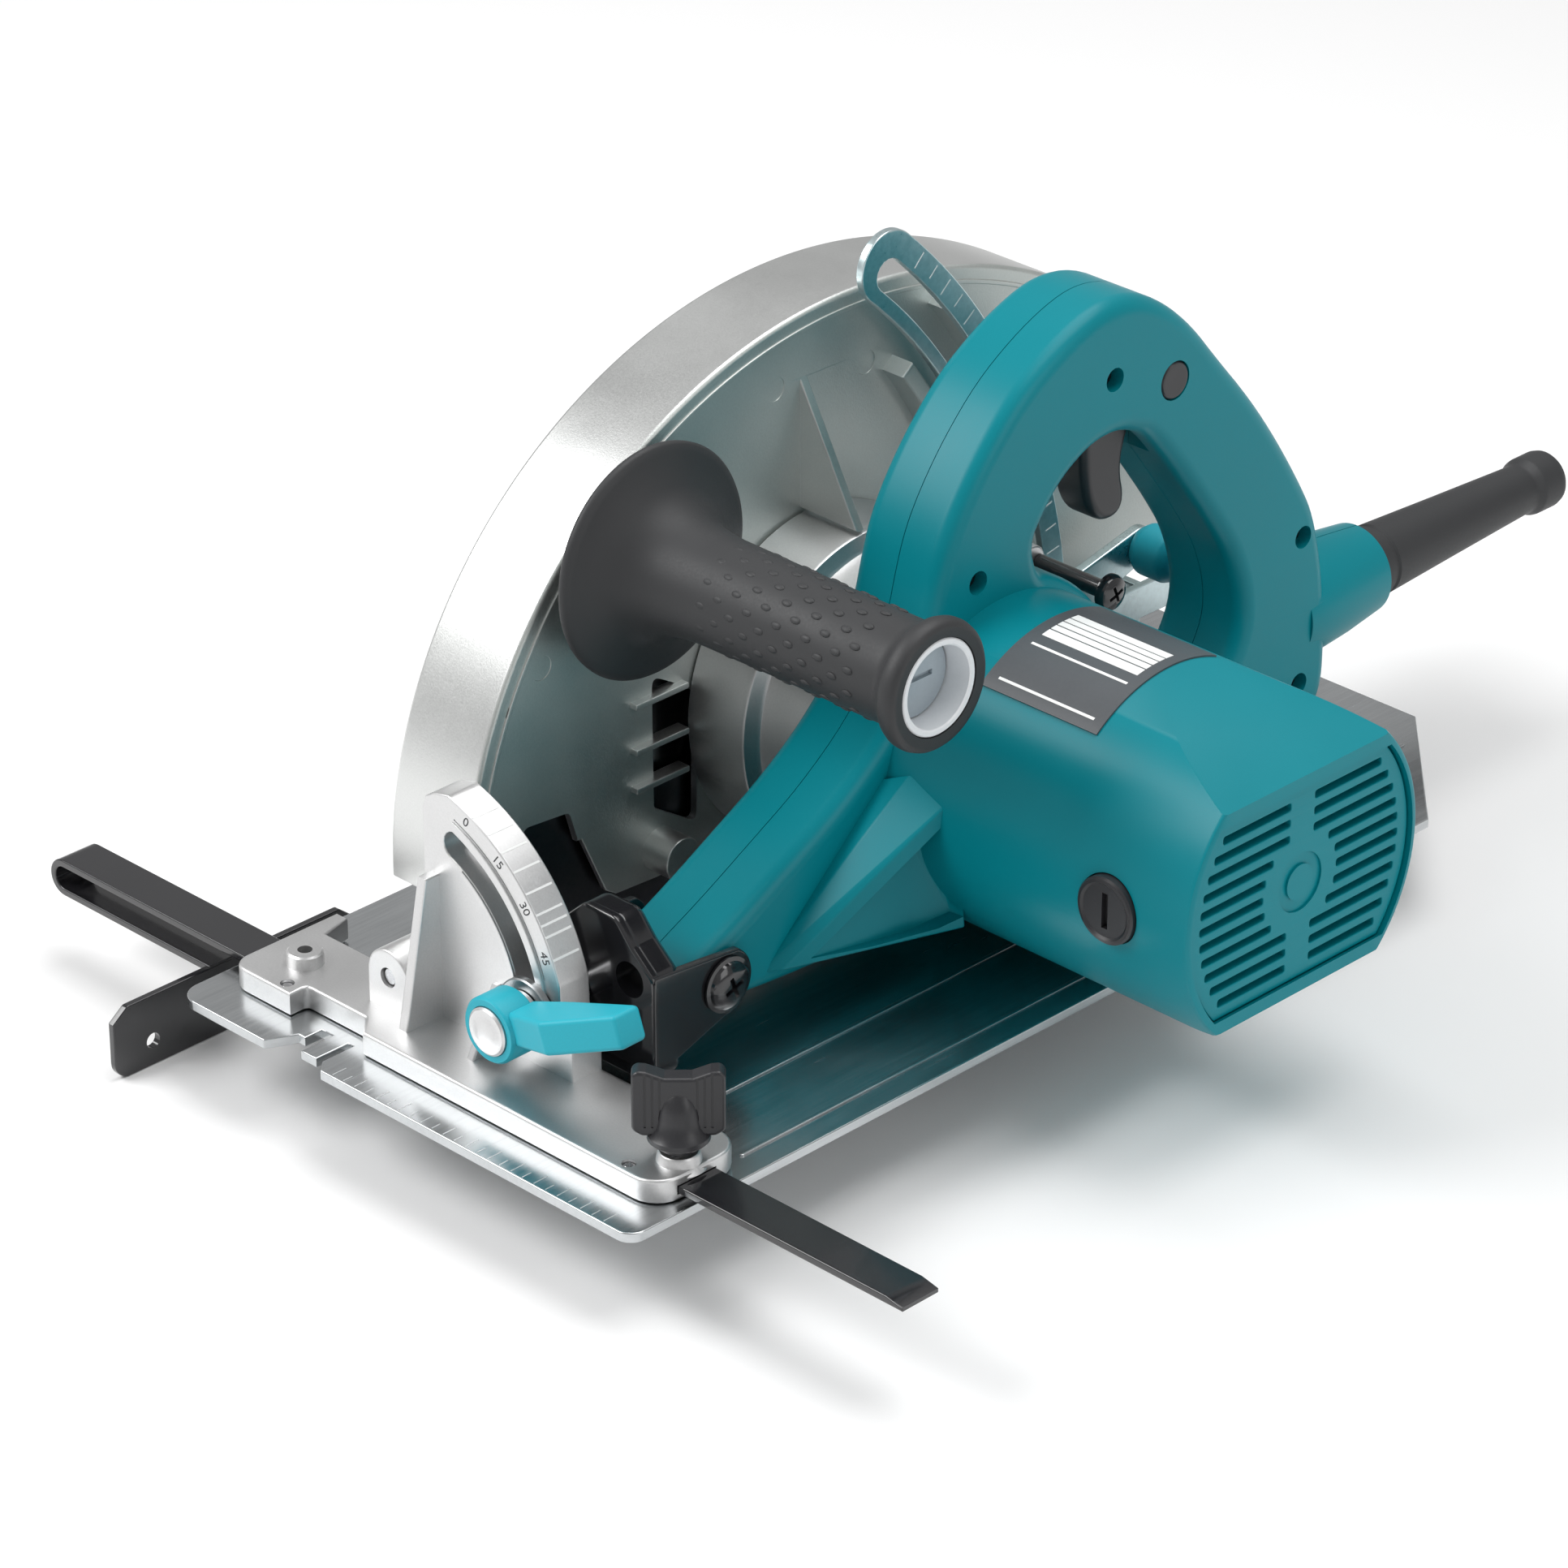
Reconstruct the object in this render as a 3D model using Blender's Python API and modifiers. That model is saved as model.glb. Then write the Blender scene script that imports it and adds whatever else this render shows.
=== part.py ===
"""A 270 mm portable circular saw: a tilting, depth-adjustable saw body on a flat base.

World frame: the sole of the base is Z = 0, the saw cuts towards -Y, the motor lies along +X.
Lengths in this file are millimetres and become metres where a mesh is made.
"""

import math

import bmesh
import bpy
from mathutils import Matrix, Vector

MM = 0.001
GAP = 0.3  # clearance left between two touching pieces

# Driving dimensions
PLATE_WIDTH = 205.0
PLATE_LENGTH = 420.0
PLATE_THICK = 3.5
SLOT_LOW = (-75.0, -151.0)  # corners of the opening that the blade passes through
SLOT_HIGH = (-20.0, 146.0)
TILT = (-36.0, 23.5)  # X, Z of the bevel axis, along Y
SWING = (-119.0, 31.5)  # Y, Z of the cutting-depth axis, along X
SPINDLE = (2.2, 34.1)  # Y, Z
MOTOR = (9.7, 62.5)  # Y, Z
MOTOR_RADIUS = 54.0
MOTOR_BORE = 51.5
BLADE_X = -51.5
BLADE_RADIUS = 135.0
BLADE_TEETH = 24
CASE_NEAR = -39.5  # X of the blade case's motor-side face
CASE_FAR = -75.5
CASE_WALL = 2.8
HANDLE_FAR = 9.5  # X of the handle's two faces and of the plane that splits it
HANDLE_NEAR = 45.5
HANDLE_SPLIT = 27.5
HANDLE_WALL = 3.0
MOTOR_END = 170.5
GEAR_MODULE = 1.25
DRIVE_TEETH = 38
PINION_TEETH = 9
GRIP = (-78.4, 136.0)  # Y, Z of the side grip's axis, along X
CLAMP = (90.5, -178.3)  # X, Y of the rip fence's clamping knob
STUD_RADIUS = 55.0  # bevel stud and depth bolt: distance from their axes
STUD_ANGLE = 7.0
GUIDE_RADIUS = 223.5
GUIDE_ANGLE = 5.0
BRUSH_X = 139.0


# ------------------------------------------------------------------ helpers

for old in list(bpy.data.objects):
    bpy.data.objects.remove(old, do_unlink=True)

PARTS = bpy.data.collections.new("circular_saw")
CUTTERS = bpy.data.collections.new("cutters")
for collection in (PARTS, CUTTERS):
    bpy.context.scene.collection.children.link(collection)

AXIS_TURN = {
    "X": Matrix(((0, 0, 1), (1, 0, 0), (0, 1, 0))),  # an outline's x, y become Y, Z
    "Y": Matrix(((1, 0, 0), (0, 0, -1), (0, 1, 0))),  # an outline's x, y become X, Z
    "Z": Matrix.Identity(3),
}


def place(name, data, axis, across, along):
    """An object whose local Z is the axis, at `across` in the other two coordinates."""
    obj = bpy.data.objects.new(name, data)
    PARTS.objects.link(obj)
    u, v = across
    where = {"X": (along, u, v), "Y": (u, along, v), "Z": (u, v, along)}[axis]
    obj.matrix_world = Matrix.Translation(Vector(where) * MM) @ AXIS_TURN[axis].to_4x4()
    return obj


def box(name, low, high):
    mesh = bpy.data.meshes.new(name)
    bm = bmesh.new()
    bmesh.ops.create_cube(bm, size=1.0)
    size = [(h - l) * MM for l, h in zip(low, high)]
    bmesh.ops.scale(bm, vec=size, verts=bm.verts)
    bm.to_mesh(mesh)
    bm.free()
    centre = [(h + l) / 2 for l, h in zip(low, high)]
    return place(name, mesh, "Z", centre[:2], centre[2])


def rod(name, axis, across, start, end, radius, sides=24, end_radius=None):
    """A cylinder or cone from start to end along the axis."""
    mesh = bpy.data.meshes.new(name)
    bm = bmesh.new()
    radii = [radius, radius if end_radius is None else end_radius]
    if axis == "Y":
        radii.reverse()
    bmesh.ops.create_cone(
        bm, cap_ends=True, segments=sides, radius1=radii[0] * MM, radius2=radii[1] * MM,
        depth=(end - start) * MM,
    )
    bm.to_mesh(mesh)
    bm.free()
    smooth(mesh)
    return place(name, mesh, axis, across, (start + end) / 2)


def smooth(mesh):
    mesh.shade_smooth()
    mesh.set_sharp_from_angle(angle=math.radians(35))


def slab(name, axis, outlines, start, end):
    """A flat outline, with any holes, given its thickness along the axis."""
    curve = bpy.data.curves.new(name, "CURVE")
    curve.dimensions = "2D"
    curve.fill_mode = "BOTH"
    curve.extrude = (end - start) / 2 * MM
    for outline in outlines:
        spline = curve.splines.new("POLY")
        spline.points.add(len(outline) - 1)
        for point, (u, v) in zip(spline.points, outline):
            point.co = (u * MM, v * MM, 0, 1)
        spline.use_cyclic_u = True
    flat = place(name + "_outline", curve, axis, (0, 0), (start + end) / 2)
    bpy.context.view_layer.update()
    evaluated = flat.evaluated_get(bpy.context.evaluated_depsgraph_get())
    mesh = bpy.data.meshes.new_from_object(evaluated)
    bm = bmesh.new()
    bm.from_mesh(mesh)
    bmesh.ops.remove_doubles(bm, verts=bm.verts, dist=1e-6)
    bmesh.ops.recalc_face_normals(bm, faces=bm.faces)
    bm.to_mesh(mesh)
    bm.free()
    mesh.name = name
    smooth(mesh)
    solid = bpy.data.objects.new(name, mesh)
    PARTS.objects.link(solid)
    solid.matrix_world = flat.matrix_world
    bpy.data.objects.remove(flat, do_unlink=True)
    return solid


def turned(name, axis, across, profile, sides=24, ring=False):
    """A turned solid: profile points are (place along the axis, radius), in rising order."""
    points = [(radius, along if axis != "Y" else -along) for along, radius in profile]
    if axis != "Y":
        points.reverse()
    mesh = bpy.data.meshes.new(name)
    edges = [(i, i + 1) for i in range(len(points) - 1)]
    if ring:
        edges.append((len(points) - 1, 0))
    mesh.from_pydata([(r * MM, 0, z * MM) for r, z in points], edges, [])
    solid = place(name, mesh, axis, across, 0)
    screw = solid.modifiers.new("turn", "SCREW")
    screw.axis = "Z"
    screw.steps = sides
    screw.render_steps = sides
    screw.use_merge_vertices = True
    screw.merge_threshold = 1e-6
    screw.use_smooth_shade = False
    return solid


def hull(name, corners):
    """The convex solid around a few corners."""
    mesh = bpy.data.meshes.new(name)
    bm = bmesh.new()
    for corner in corners:
        bm.verts.new(Vector(corner) * MM)
    bmesh.ops.convex_hull(bm, input=bm.verts)
    bm.to_mesh(mesh)
    bm.free()
    return place(name, mesh, "Z", (0, 0), 0)


# these need the manifold solver: the exact one leaves open edges on them
MANIFOLD_PARTS = ("angular_guide", "motor_housing", "end_cover")


def combine(obj, operation, tools):
    for tool in tools:
        boolean = obj.modifiers.new(tool.name, "BOOLEAN")
        boolean.operation = operation
        boolean.solver = "MANIFOLD" if obj.name in MANIFOLD_PARTS else "EXACT"
        boolean.object = tool
        if tool.name in PARTS.objects:
            PARTS.objects.unlink(tool)
            CUTTERS.objects.link(tool)
            tool.hide_render = True
            tool.display_type = "WIRE"


def cut(obj, *tools):
    combine(obj, "DIFFERENCE", tools)


def fuse(obj, *tools):
    combine(obj, "UNION", tools)


def arc(centre, radius, start, end, steps):
    """Points on an arc, from the start angle to the end angle in degrees."""
    angles = [math.radians(start + (end - start) * i / steps) for i in range(steps + 1)]
    return [(centre[0] + radius * math.cos(a), centre[1] + radius * math.sin(a)) for a in angles]


def sector(centre, inner, outer, start, end, steps):
    """A ring's piece between two radii and two angles."""
    return arc(centre, outer, start, end, steps) + arc(centre, inner, end, start, steps)


def arc_slot(centre, radius, half_width, start, end, steps):
    """A curved slot with round ends."""
    first = math.radians(start)
    last = math.radians(end)
    head = (centre[0] + radius * math.cos(last), centre[1] + radius * math.sin(last))
    foot = (centre[0] + radius * math.cos(first), centre[1] + radius * math.sin(first))
    outside = arc(centre, radius + half_width, start, end, steps)
    inside = arc(centre, radius - half_width, end, start, steps)
    over = arc(head, half_width, end, end + 180, 6)[1:-1]
    under = arc(foot, half_width, start + 180, start + 360, 6)[1:-1]
    return outside + over + inside + under


def inset(outline, distance):
    """The outline moved inwards; it runs counter-clockwise, and a negative distance grows it."""
    moved = []
    for i, point in enumerate(outline):
        before = Vector(point) - Vector(outline[i - 1])
        after = Vector(outline[(i + 1) % len(outline)]) - Vector(point)
        first = Vector((-before.y, before.x)).normalized()
        second = Vector((-after.y, after.x)).normalized()
        middle = (first + second).normalized()
        reach = distance / max(middle.dot(first), 0.5)
        moved.append(tuple(Vector(point) + middle * reach))
    return moved


def polar(centre, radius, angle):
    a = math.radians(angle)
    return (centre[0] + radius * math.cos(a), centre[1] + radius * math.sin(a))


def gear_outline(centre, teeth, phase=0.0):
    """A plain gear with straight flanks, its teeth a little thin for running clearance."""
    pitch = GEAR_MODULE * teeth / 2
    tip = pitch + 0.7 * GEAR_MODULE
    root = pitch - 1.0 * GEAR_MODULE
    points = []
    for tooth in range(teeth):
        middle = (tooth + phase) * 360 / teeth
        for side, radius in ((-0.24, root), (-0.09, tip), (0.09, tip), (0.24, root)):
            points.append(polar(centre, radius, middle + side * 360 / teeth))
    return points


def principled(name, colour, roughness, metallic):
    material = bpy.data.materials.new(name)
    material.use_nodes = True
    shader = material.node_tree.nodes["Principled BSDF"]
    shader.inputs["Base Color"].default_value = (*colour, 1)
    shader.inputs["Roughness"].default_value = roughness
    shader.inputs["Metallic"].default_value = metallic
    material.diffuse_color = (*colour, 1)
    return material


FINISHES = {
    "cast": ((0.62, 0.63, 0.62), 0.38, 1.0),
    "sheet": ((0.55, 0.57, 0.58), 0.30, 1.0),
    "zinc": ((0.55, 0.63, 0.66), 0.28, 1.0),
    "steel": ((0.42, 0.42, 0.43), 0.32, 1.0),
    "dark_steel": ((0.06, 0.06, 0.065), 0.35, 1.0),
    "teal": ((0.0, 0.26, 0.29), 0.38, 0.0),
    "cyan": ((0.07, 0.50, 0.60), 0.42, 0.0),
    "black_paint": ((0.012, 0.012, 0.014), 0.2, 0.0),
    "black_plastic": ((0.02, 0.02, 0.024), 0.45, 0.0),
    "rubber": ((0.018, 0.018, 0.02), 0.6, 0.0),
    "white": ((0.8, 0.82, 0.84), 0.4, 0.0),
    "label": ((0.10, 0.11, 0.12), 0.4, 0.0),
    "copper": ((0.72, 0.33, 0.16), 0.35, 1.0),
    "carbon": ((0.03, 0.03, 0.03), 0.7, 0.0),
}

BODIES = {
    "base": (0, 0, 0),
    "rip_fence_slide": (0, -178.3, 7.5),
    "clamp_axis": (*CLAMP, 16),
    "tilt_axis": (TILT[0], 0, TILT[1]),
    "lever_axis": (TILT[0] + 54.6, -180, TILT[1] + 6.7),
    "swing_axis": (0, *SWING),
    "spindle_axis": (BLADE_X, *SPINDLE),
    "armature_axis": (0, *MOTOR),
    "guard_axis": (BLADE_X, *SPINDLE),
    "trigger_axis": (HANDLE_SPLIT, 55, 160),
    "button_axis": (HANDLE_NEAR, 87.3, 165.5),
    "depth_lever_axis": (-24, *polar(SWING, GUIDE_RADIUS, GUIDE_ANGLE)),
}
HOLDERS = {}
for holder_name, holder_place in BODIES.items():
    holder = bpy.data.objects.new(holder_name, None)
    PARTS.objects.link(holder)
    holder.location = Vector(holder_place) * MM
    HOLDERS[holder_name] = holder


def keep(obj, finish, body):
    """Gives a finished part its material and hangs it on the empty that it moves with."""
    colour, roughness, metallic = FINISHES[finish]
    obj.data.materials.append(principled(obj.name, colour, roughness, metallic))
    obj.parent = HOLDERS[body]
    obj.matrix_parent_inverse = Matrix.Translation(-HOLDERS[body].location)
    return obj


def bore(name, axis, across, start, end, radius, sides=12):
    return rod("hole_" + name, axis, across, start, end, radius, sides)


# --------------------------------------------------------------------- base

def make_base_plate():
    """Flat sole plate with a sight notch for square cuts and one for 45 degree cuts."""
    w = PLATE_WIDTH / 2
    l = PLATE_LENGTH / 2
    front = [(-61, -l), (-56, -200), (-53, -200), (-53, -193), (-48, -193), (-48, -206),
             (-41, -206), (-41, -193), (-38.5, -193), (-38.5, -206), (-34.5, -l)]
    outline = arc((-w + 8, -l + 8), 8, 180, 270, 4) + front
    outline += arc((w - 6, -l + 6), 6, 270, 360, 4)
    outline += [(w, 156), (52.4, l)] + arc((-w + 8, l - 8), 8, 90, 180, 4)
    (x0, y0), (x1, y1) = SLOT_LOW, SLOT_HIGH
    opening = [(x0, y0), (x1, y0), (x1, y1), (x0, y1)]
    keep(slab("base_plate", "Z", [outline, opening], 0, PLATE_THICK), "sheet", "base")


GUIDE_TOP = 12.0
QUADRANT_FRONT = -170.5
QUADRANT_BACK = -158.0
FENCE_Y = (-186.0, -170.5)
FENCE_Z = (6.2, 8.8)
RIVETS = ((81.9, -190.7), (-71.1, -191.0))


def make_angular_guide():
    """Cast front guide: bevel quadrant, hinge ear, stiffening ribs and the fence channel."""
    outline = arc((-87, -188), 7, 180, 270, 3)
    outline += [(-65.5, -195), (-65.5, -187.8), (-38, -187.8), (-31.5, -195)]
    outline += arc((88, -185), 10, 270, 360, 3) + arc((88, -168), 10, 0, 90, 3)
    outline += [(-57, -158), (-60, -161.5), (-86, -161.5), (-89, -150), (-94, -150)]
    guide = slab("angular_guide", "Z", [outline], PLATE_THICK + GAP, GUIDE_TOP)
    below = GUIDE_TOP - 1
    plate = [(-28.5, below), (36.5, below), (36.5, 25.5), (32, 25.5)]
    plate += arc(TILT, 70, 16, 74, 10) + [(-23, 89.5), (-27, 87), (-28.5, 83)]
    track = arc_slot(TILT, STUD_RADIUS, 4.6, 1.5, 67, 10)
    quadrant = slab("quadrant", "Y", [plate, track], QUADRANT_FRONT, QUADRANT_BACK)
    ear_outline = arc(TILT, 9.5, 0, 180, 10) + [(TILT[0] - 9.5, below), (TILT[0] + 9.5, below)]
    ear = slab("hinge_ear", "Y", [ear_outline], -180, -160)
    tall_outline = [(-186, below), (-168, below), (-168, 61.9), (-176, 61.9)]
    tall = slab("tall_rib", "X", [tall_outline], -25.5, -21.5)
    small = slab("small_rib", "X", [[(-184, below), (-168, below), (-168, 34), (-172, 34)]], 2.5, 5.5)
    clamp_boss = rod("clamp_boss", "Z", CLAMP, below, 15, 6.5, 16)
    spare_boss = rod("spare_boss", "Z", (-77, -178.3), below, 16.6, 5.9, 16)
    fuse(guide, quadrant, ear, tall, small, clamp_boss, spare_boss)
    channel = box("fence_channel", (-120, FENCE_Y[0] - GAP, FENCE_Z[0] - GAP),
                  (120, FENCE_Y[1] + GAP, FENCE_Z[1] + GAP))
    holes = [bore("clamp", "Z", CLAMP, 8, 20, 3.4), bore("spare", "Z", (-77, -178.3), 8, 20, 2.4),
             bore("tilt", "Y", TILT, -190, -150, 3.4)]
    holes += [bore("rivet", "Z", place_xy, 0, 20, 2.3, 12) for place_xy in RIVETS]
    cut(guide, channel, *holes)
    keep(guide, "cast", "base")
    for number, place_xy in enumerate(RIVETS, 1):
        rivet = rod(f"base_rivet_{number}", "Z", place_xy, PLATE_THICK + GAP, 11.4, 2.0, 12)
        keep(rivet, "steel", "base")


def make_rear_pivot_lug():
    """Folded ear at the back of the plate, on the bevel axis."""
    x, z = TILT
    outline = arc(TILT, 7.5, 0, 180, 8) + [(x - 7.5, PLATE_THICK + GAP), (x + 7.5, PLATE_THICK + GAP)]
    lug = slab("rear_pivot_lug", "Y", [outline], 150, 155)
    foot = box("lug_foot", (x - 7, 152, PLATE_THICK + 2 * GAP), (x + 7, 180, PLATE_THICK + 3))
    fuse(lug, foot)
    cut(lug, bore("lug", "Y", TILT, 140, 165, 3.4))
    keep(lug, "sheet", "base")


def make_rip_fence():
    """Flat bar through the guide, folded back under itself and down into the fence plate."""
    top, low = FENCE_Z[1], -4.3
    thick = FENCE_Z[1] - FENCE_Z[0]
    bend = ((top + low) / 2)
    outer = (top - low) / 2
    outline = [(183, top)] + arc((-187.5, bend), outer, 90, 270, 8)
    outline += [(-115.2, low), (-115.2, low + thick)]
    outline += arc((-187.5, bend), outer - thick, 270, 90, 8) + [(189.5, FENCE_Z[0]), (189.5, 7.5)]
    bar = slab("rip_fence", "Y", [outline[::-1]], *FENCE_Y)
    face = arc((-220, -21.5), 6, 180, 270, 3) + arc((-131.3, -21.5), 6, 270, 360, 3)
    face += [(-125.3, -7), (-131, -2.5), (-220, -2.5), (-226, -7)]
    wall = slab("fence_plate", "X", [face], -117.5, -115)
    fuse(bar, wall)
    cut(bar, bore("fence", "X", (-210.3, -18.8), -125, -105, 2.7, 12))
    keep(bar, "black_paint", "rip_fence_slide")


def make_clamp_knob():
    """Wing knob with its screw, which presses on the fence bar."""
    profile = [(16, 0), (16, 8), (17.5, 9.5), (21, 9.5), (24, 5.5), (40, 4.5), (41, 0)]
    knob = turned("wing_knob", "Z", CLAMP, profile, 16)
    wings = box("wings", (-14, -3.4, 21.5), (14, 3.4, 43.5))
    turn = Matrix.Rotation(math.radians(45), 4, "Z")
    wings.matrix_world = Matrix.Translation(Vector((*CLAMP, 32.5)) * MM) @ turn
    fuse(knob, wings)
    cut(knob, bore("knob", "Z", CLAMP, 10, 24, 3.3))
    keep(knob, "black_plastic", "clamp_axis")
    keep(rod("clamp_screw", "Z", CLAMP, FENCE_Z[1] + GAP, 23.6, 3.0, 16), "steel", "clamp_axis")


# --------------------------------------------------------------- tilt frame

STUD = polar(TILT, STUD_RADIUS, STUD_ANGLE)
BRACKET_Y = (-149.5, -146.0)


def make_pivot_bracket():
    """Pressed yoke: hinged on the bevel axis, it holds the saw body's swing bolt."""
    front = arc(TILT, 6.5, 90, 270, 8) + [(8, 7), (47, 7), (50.5, 10), (50.5, 44), (41, 52), (34, 60)]
    front += [(20, 60), (9, 50), (3, 38)]
    yoke = slab("pivot_bracket", "Y", [front], *BRACKET_Y)
    cheek = [(-149, 10), (-119, 20)] + arc(SWING, 11.5, 270, 420, 8) + [(-128.2, 43), (-149, 45)]
    near = slab("near_cheek", "X", [cheek], 47.5, 50.5)
    far = slab("far_cheek", "X", [cheek], 2.5, 5.5)
    fuse(yoke, near, far)
    cut(yoke, bore("swing", "X", SWING, -10, 60, 4.3), bore("yoke", "Y", TILT, -160, -140, 3.4),
        bore("stud", "Y", STUD, -160, -140, 4.4), bore("access", "Y", (40, 41), -160, -140, 6))
    keep(yoke, "black_paint", "tilt_axis")
    profile = [(-3, 0), (-3, 4), (51, 4), (51, 8), (53.5, 8), (54.5, 6), (54.5, 0)]
    bolt = turned("depth_pivot_bolt", "X", SWING, profile, 16)
    keep(bolt, "black_paint", "tilt_axis")


def make_bevel_clamp():
    """Stud through the quadrant, washer, and the lever nut that clamps the bevel."""
    profile = [(-186, 0), (-186, 4), (-145.4, 4), (-145.4, 7), (-140.5, 7), (-140.5, 0)]
    stud = turned("bevel_stud", "Y", STUD, profile, 16)
    keep(stud, "steel", "tilt_axis")
    washer = [(-173.4, 4.4), (-173.4, 11.5), (-170.8, 11.5), (-170.8, 4.4)]
    keep(turned("bevel_washer", "Y", STUD, washer, 16, ring=True), "steel", "tilt_axis")
    hub = [(-190, 0), (-190, 8), (-173.8, 8), (-173.8, 4.4), (-186.5, 4.4), (-186.5, 0)]
    keep(turned("bevel_lever_hub", "Y", STUD, hub, 20), "cast", "lever_axis")
    plan = [(8.6, -188.5), (30, -194.5), (56.5, -186.5), (56.5, -176), (27, -175.5), (8.6, -177)]
    lever = slab("bevel_lever", "Z", [plan], -6, 6)
    tilt = Matrix.Rotation(math.radians(-15), 4, "Y")
    lever.matrix_world = Matrix.Translation(Vector((STUD[0], 0, STUD[1])) * MM) @ tilt
    cut(lever, bore("lever", "Y", STUD, -200, -165, 8.3, 20))
    keep(lever, "cyan", "lever_axis")


def make_tilt_pins():
    keep(rod("front_tilt_pin", "Y", TILT, -179, -142.5, 3.0, 16), "steel", "tilt_axis")
    keep(rod("rear_tilt_pin", "Y", TILT, 147, 164, 3.0, 16), "steel", "tilt_axis")


def make_depth_guide():
    """Slotted arc about the swing axis, with its foot strap and the rear hinge bracket."""
    inner, outer = 213.0, 238.0
    end = polar(SWING, (inner + outer) / 2, 48.3)
    outline = arc(SWING, outer, 3.1, 48.3, 16) + arc(end, (outer - inner) / 2, 48.3, 228.3, 8)[1:-1]
    outline += arc(SWING, inner, 48.3, 0.2, 16) + [(177, 32.2), (177, 44.4)]
    track = arc_slot(SWING, GUIDE_RADIUS, 5.5, 2.6, 47.9, 14)
    keep(slab("depth_guide", "X", [outline, track], -29, -26), "zinc", "tilt_axis")
    x, z = TILT
    tongue = arc(TILT, 8, 150, 330, 8) + [(-29.3, 21), (-29.3, 44), (x - 2.5, 44), (x - 2.5, 32)]
    bracket = slab("rear_bracket", "Y", [tongue], 156, 159.5)
    cut(bracket, bore("rear", "Y", TILT, 150, 165, 3.4))
    keep(bracket, "zinc", "tilt_axis")


# ---------------------------------------------------------------- saw body

def case_radius(angle):
    """The blade case is a volute about the spindle: it opens towards the rear outlet."""
    return 145.0 + 47.0 * (max(160.0 - angle, 0.0) / 128.0) ** 2.8


def volute(first, last, steps, less=0.0):
    angles = [first + (last - first) * i / steps for i in range(steps + 1)]
    return [polar(SPINDLE, case_radius(a) - less, a) for a in angles]


CASE_FLOOR = 37.0


def case_outline(less=0.0):
    """Outline of the whole case, counter-clockwise from the lower rear corner."""
    rear = [(196 - less, 58), (196 - less, 108 - less)]
    return [(150, CASE_FLOOR)] + rear + volute(25, 181.5, 26, less) + [(-126 + less, 31), (-108, CASE_FLOOR)]


def make_blade_case():
    """Cast blade case: two walls and a rim, open below, with a dust outlet at the rear."""
    case = slab("blade_case", "X", [case_outline()], CASE_FAR, CASE_NEAR)
    skirt_outline = [(-104, 52), (-99, 49.2), (-83.5, 15), (-79, 12), (-61, 11), (128, 11)]
    skirt_outline += [(142, 16), (149, 39), (20, 62)]
    skirt = slab("near_skirt", "X", [skirt_outline], CASE_NEAR - CASE_WALL + 0.1, CASE_NEAR - 0.05)
    room_outline = [(147, -10), (193.2, 61), (193.2, 105)] + volute(25, 180, 26, CASE_WALL)
    room_outline.append((-141.2, -10))
    room = slab("blade_room", "X", [room_outline], CASE_FAR + CASE_WALL, CASE_NEAR - CASE_WALL)
    notch_outline = [(-150, 20), (-90, 20), (-99, 49.2), (-118, 50.8), (-129, 33), (-137, 28)]
    notch = slab("front_notch", "X", [notch_outline], CASE_NEAR - CASE_WALL - 1, CASE_NEAR + 1)
    cut(case, room, notch)
    rib = slab("case_rib", "Y", [[(-41, 168.5), (-41, 120.6), (-14, 120.4)]], 4.5, 7.5)
    grip_boss = rod("grip_boss", "X", GRIP, -41, -25.3, 12, 12)
    lock_boss = rod("lock_boss", "X", polar(SWING, GUIDE_RADIUS, GUIDE_ANGLE), -41, -30, 8, 16)
    stop_boss = rod("stop_boss", "X", (-60, 21.5), -41, -28, 7.5, 16)
    rails = [slab("rail", "X", [sector(SWING, r, r + 6, 14, 38, 6)], -41, -30) for r in (204, 231)]
    guard_hub = rod("guard_hub", "X", SPINDLE, -47.2, -41, 30, 24)
    bearing_boss = rod("bearing_boss", "X", SPINDLE, -41, -36.2, 20, 16)
    fuse(case, skirt, rib, grip_boss, lock_boss, stop_boss, *rails, guard_hub, bearing_boss)
    window = [(-62.4, 84.1), (-62, 36.7), (-43, 24.5), (-42, 70.5), (-46, 74.5)]
    outlet = box("dust_outlet", (CASE_FAR + 5, 190, 64), (CASE_NEAR - 5, 200, 102))
    cut(case, slab("window", "X", [window], -45, -35), outlet,
        bore("case_bearing", "X", SPINDLE, -42.5, -30, 16.3, 16),
        bore("case_flange", "X", SPINDLE, -50, -42.2, 24, 16),
        bore("grip_bolt", "X", GRIP, -45, -20, 5.3),
        bore("lock_bolt", "X", polar(SWING, GUIDE_RADIUS, GUIDE_ANGLE), -45, -20, 4.3))
    fins = [box("louver", (-42, -72, z), (-36.5, -48.6, z + 2.2)) for z in (76, 59.8, 46.1)]
    fuse(case, *fins)
    keep(case, "cast", "swing_axis")


def make_gear_housing():
    """Cast gear housing between the blade case and the motor."""
    drum = [(-39.2, 0), (-39.2, 57), (-13.5, 57), (-11.5, 52), (9.2, 52), (9.2, 0)]
    housing = turned("gear_housing", "X", MOTOR, drum, 36)
    arm = slab("flange_arm", "X", [[(40, 90), (64, 68), (72, 90), (66, 103), (52, 104)]], 1, 9.2)
    fuse(housing, arm)
    cut(housing, bore("gear_room", "X", SPINDLE, -42, -21, 25.4, 20),
        bore("pinion_room", "X", MOTOR, -42, -24, 8.6),
        bore("pinion_bearing", "X", MOTOR, -30, -8, 11.1, 16),
        bore("fan_room", "X", MOTOR, -9, 20, 48, 24),
        bore("spindle_end", "X", SPINDLE, -30, -14, 9))
    keep(housing, "cast", "swing_axis")


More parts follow.
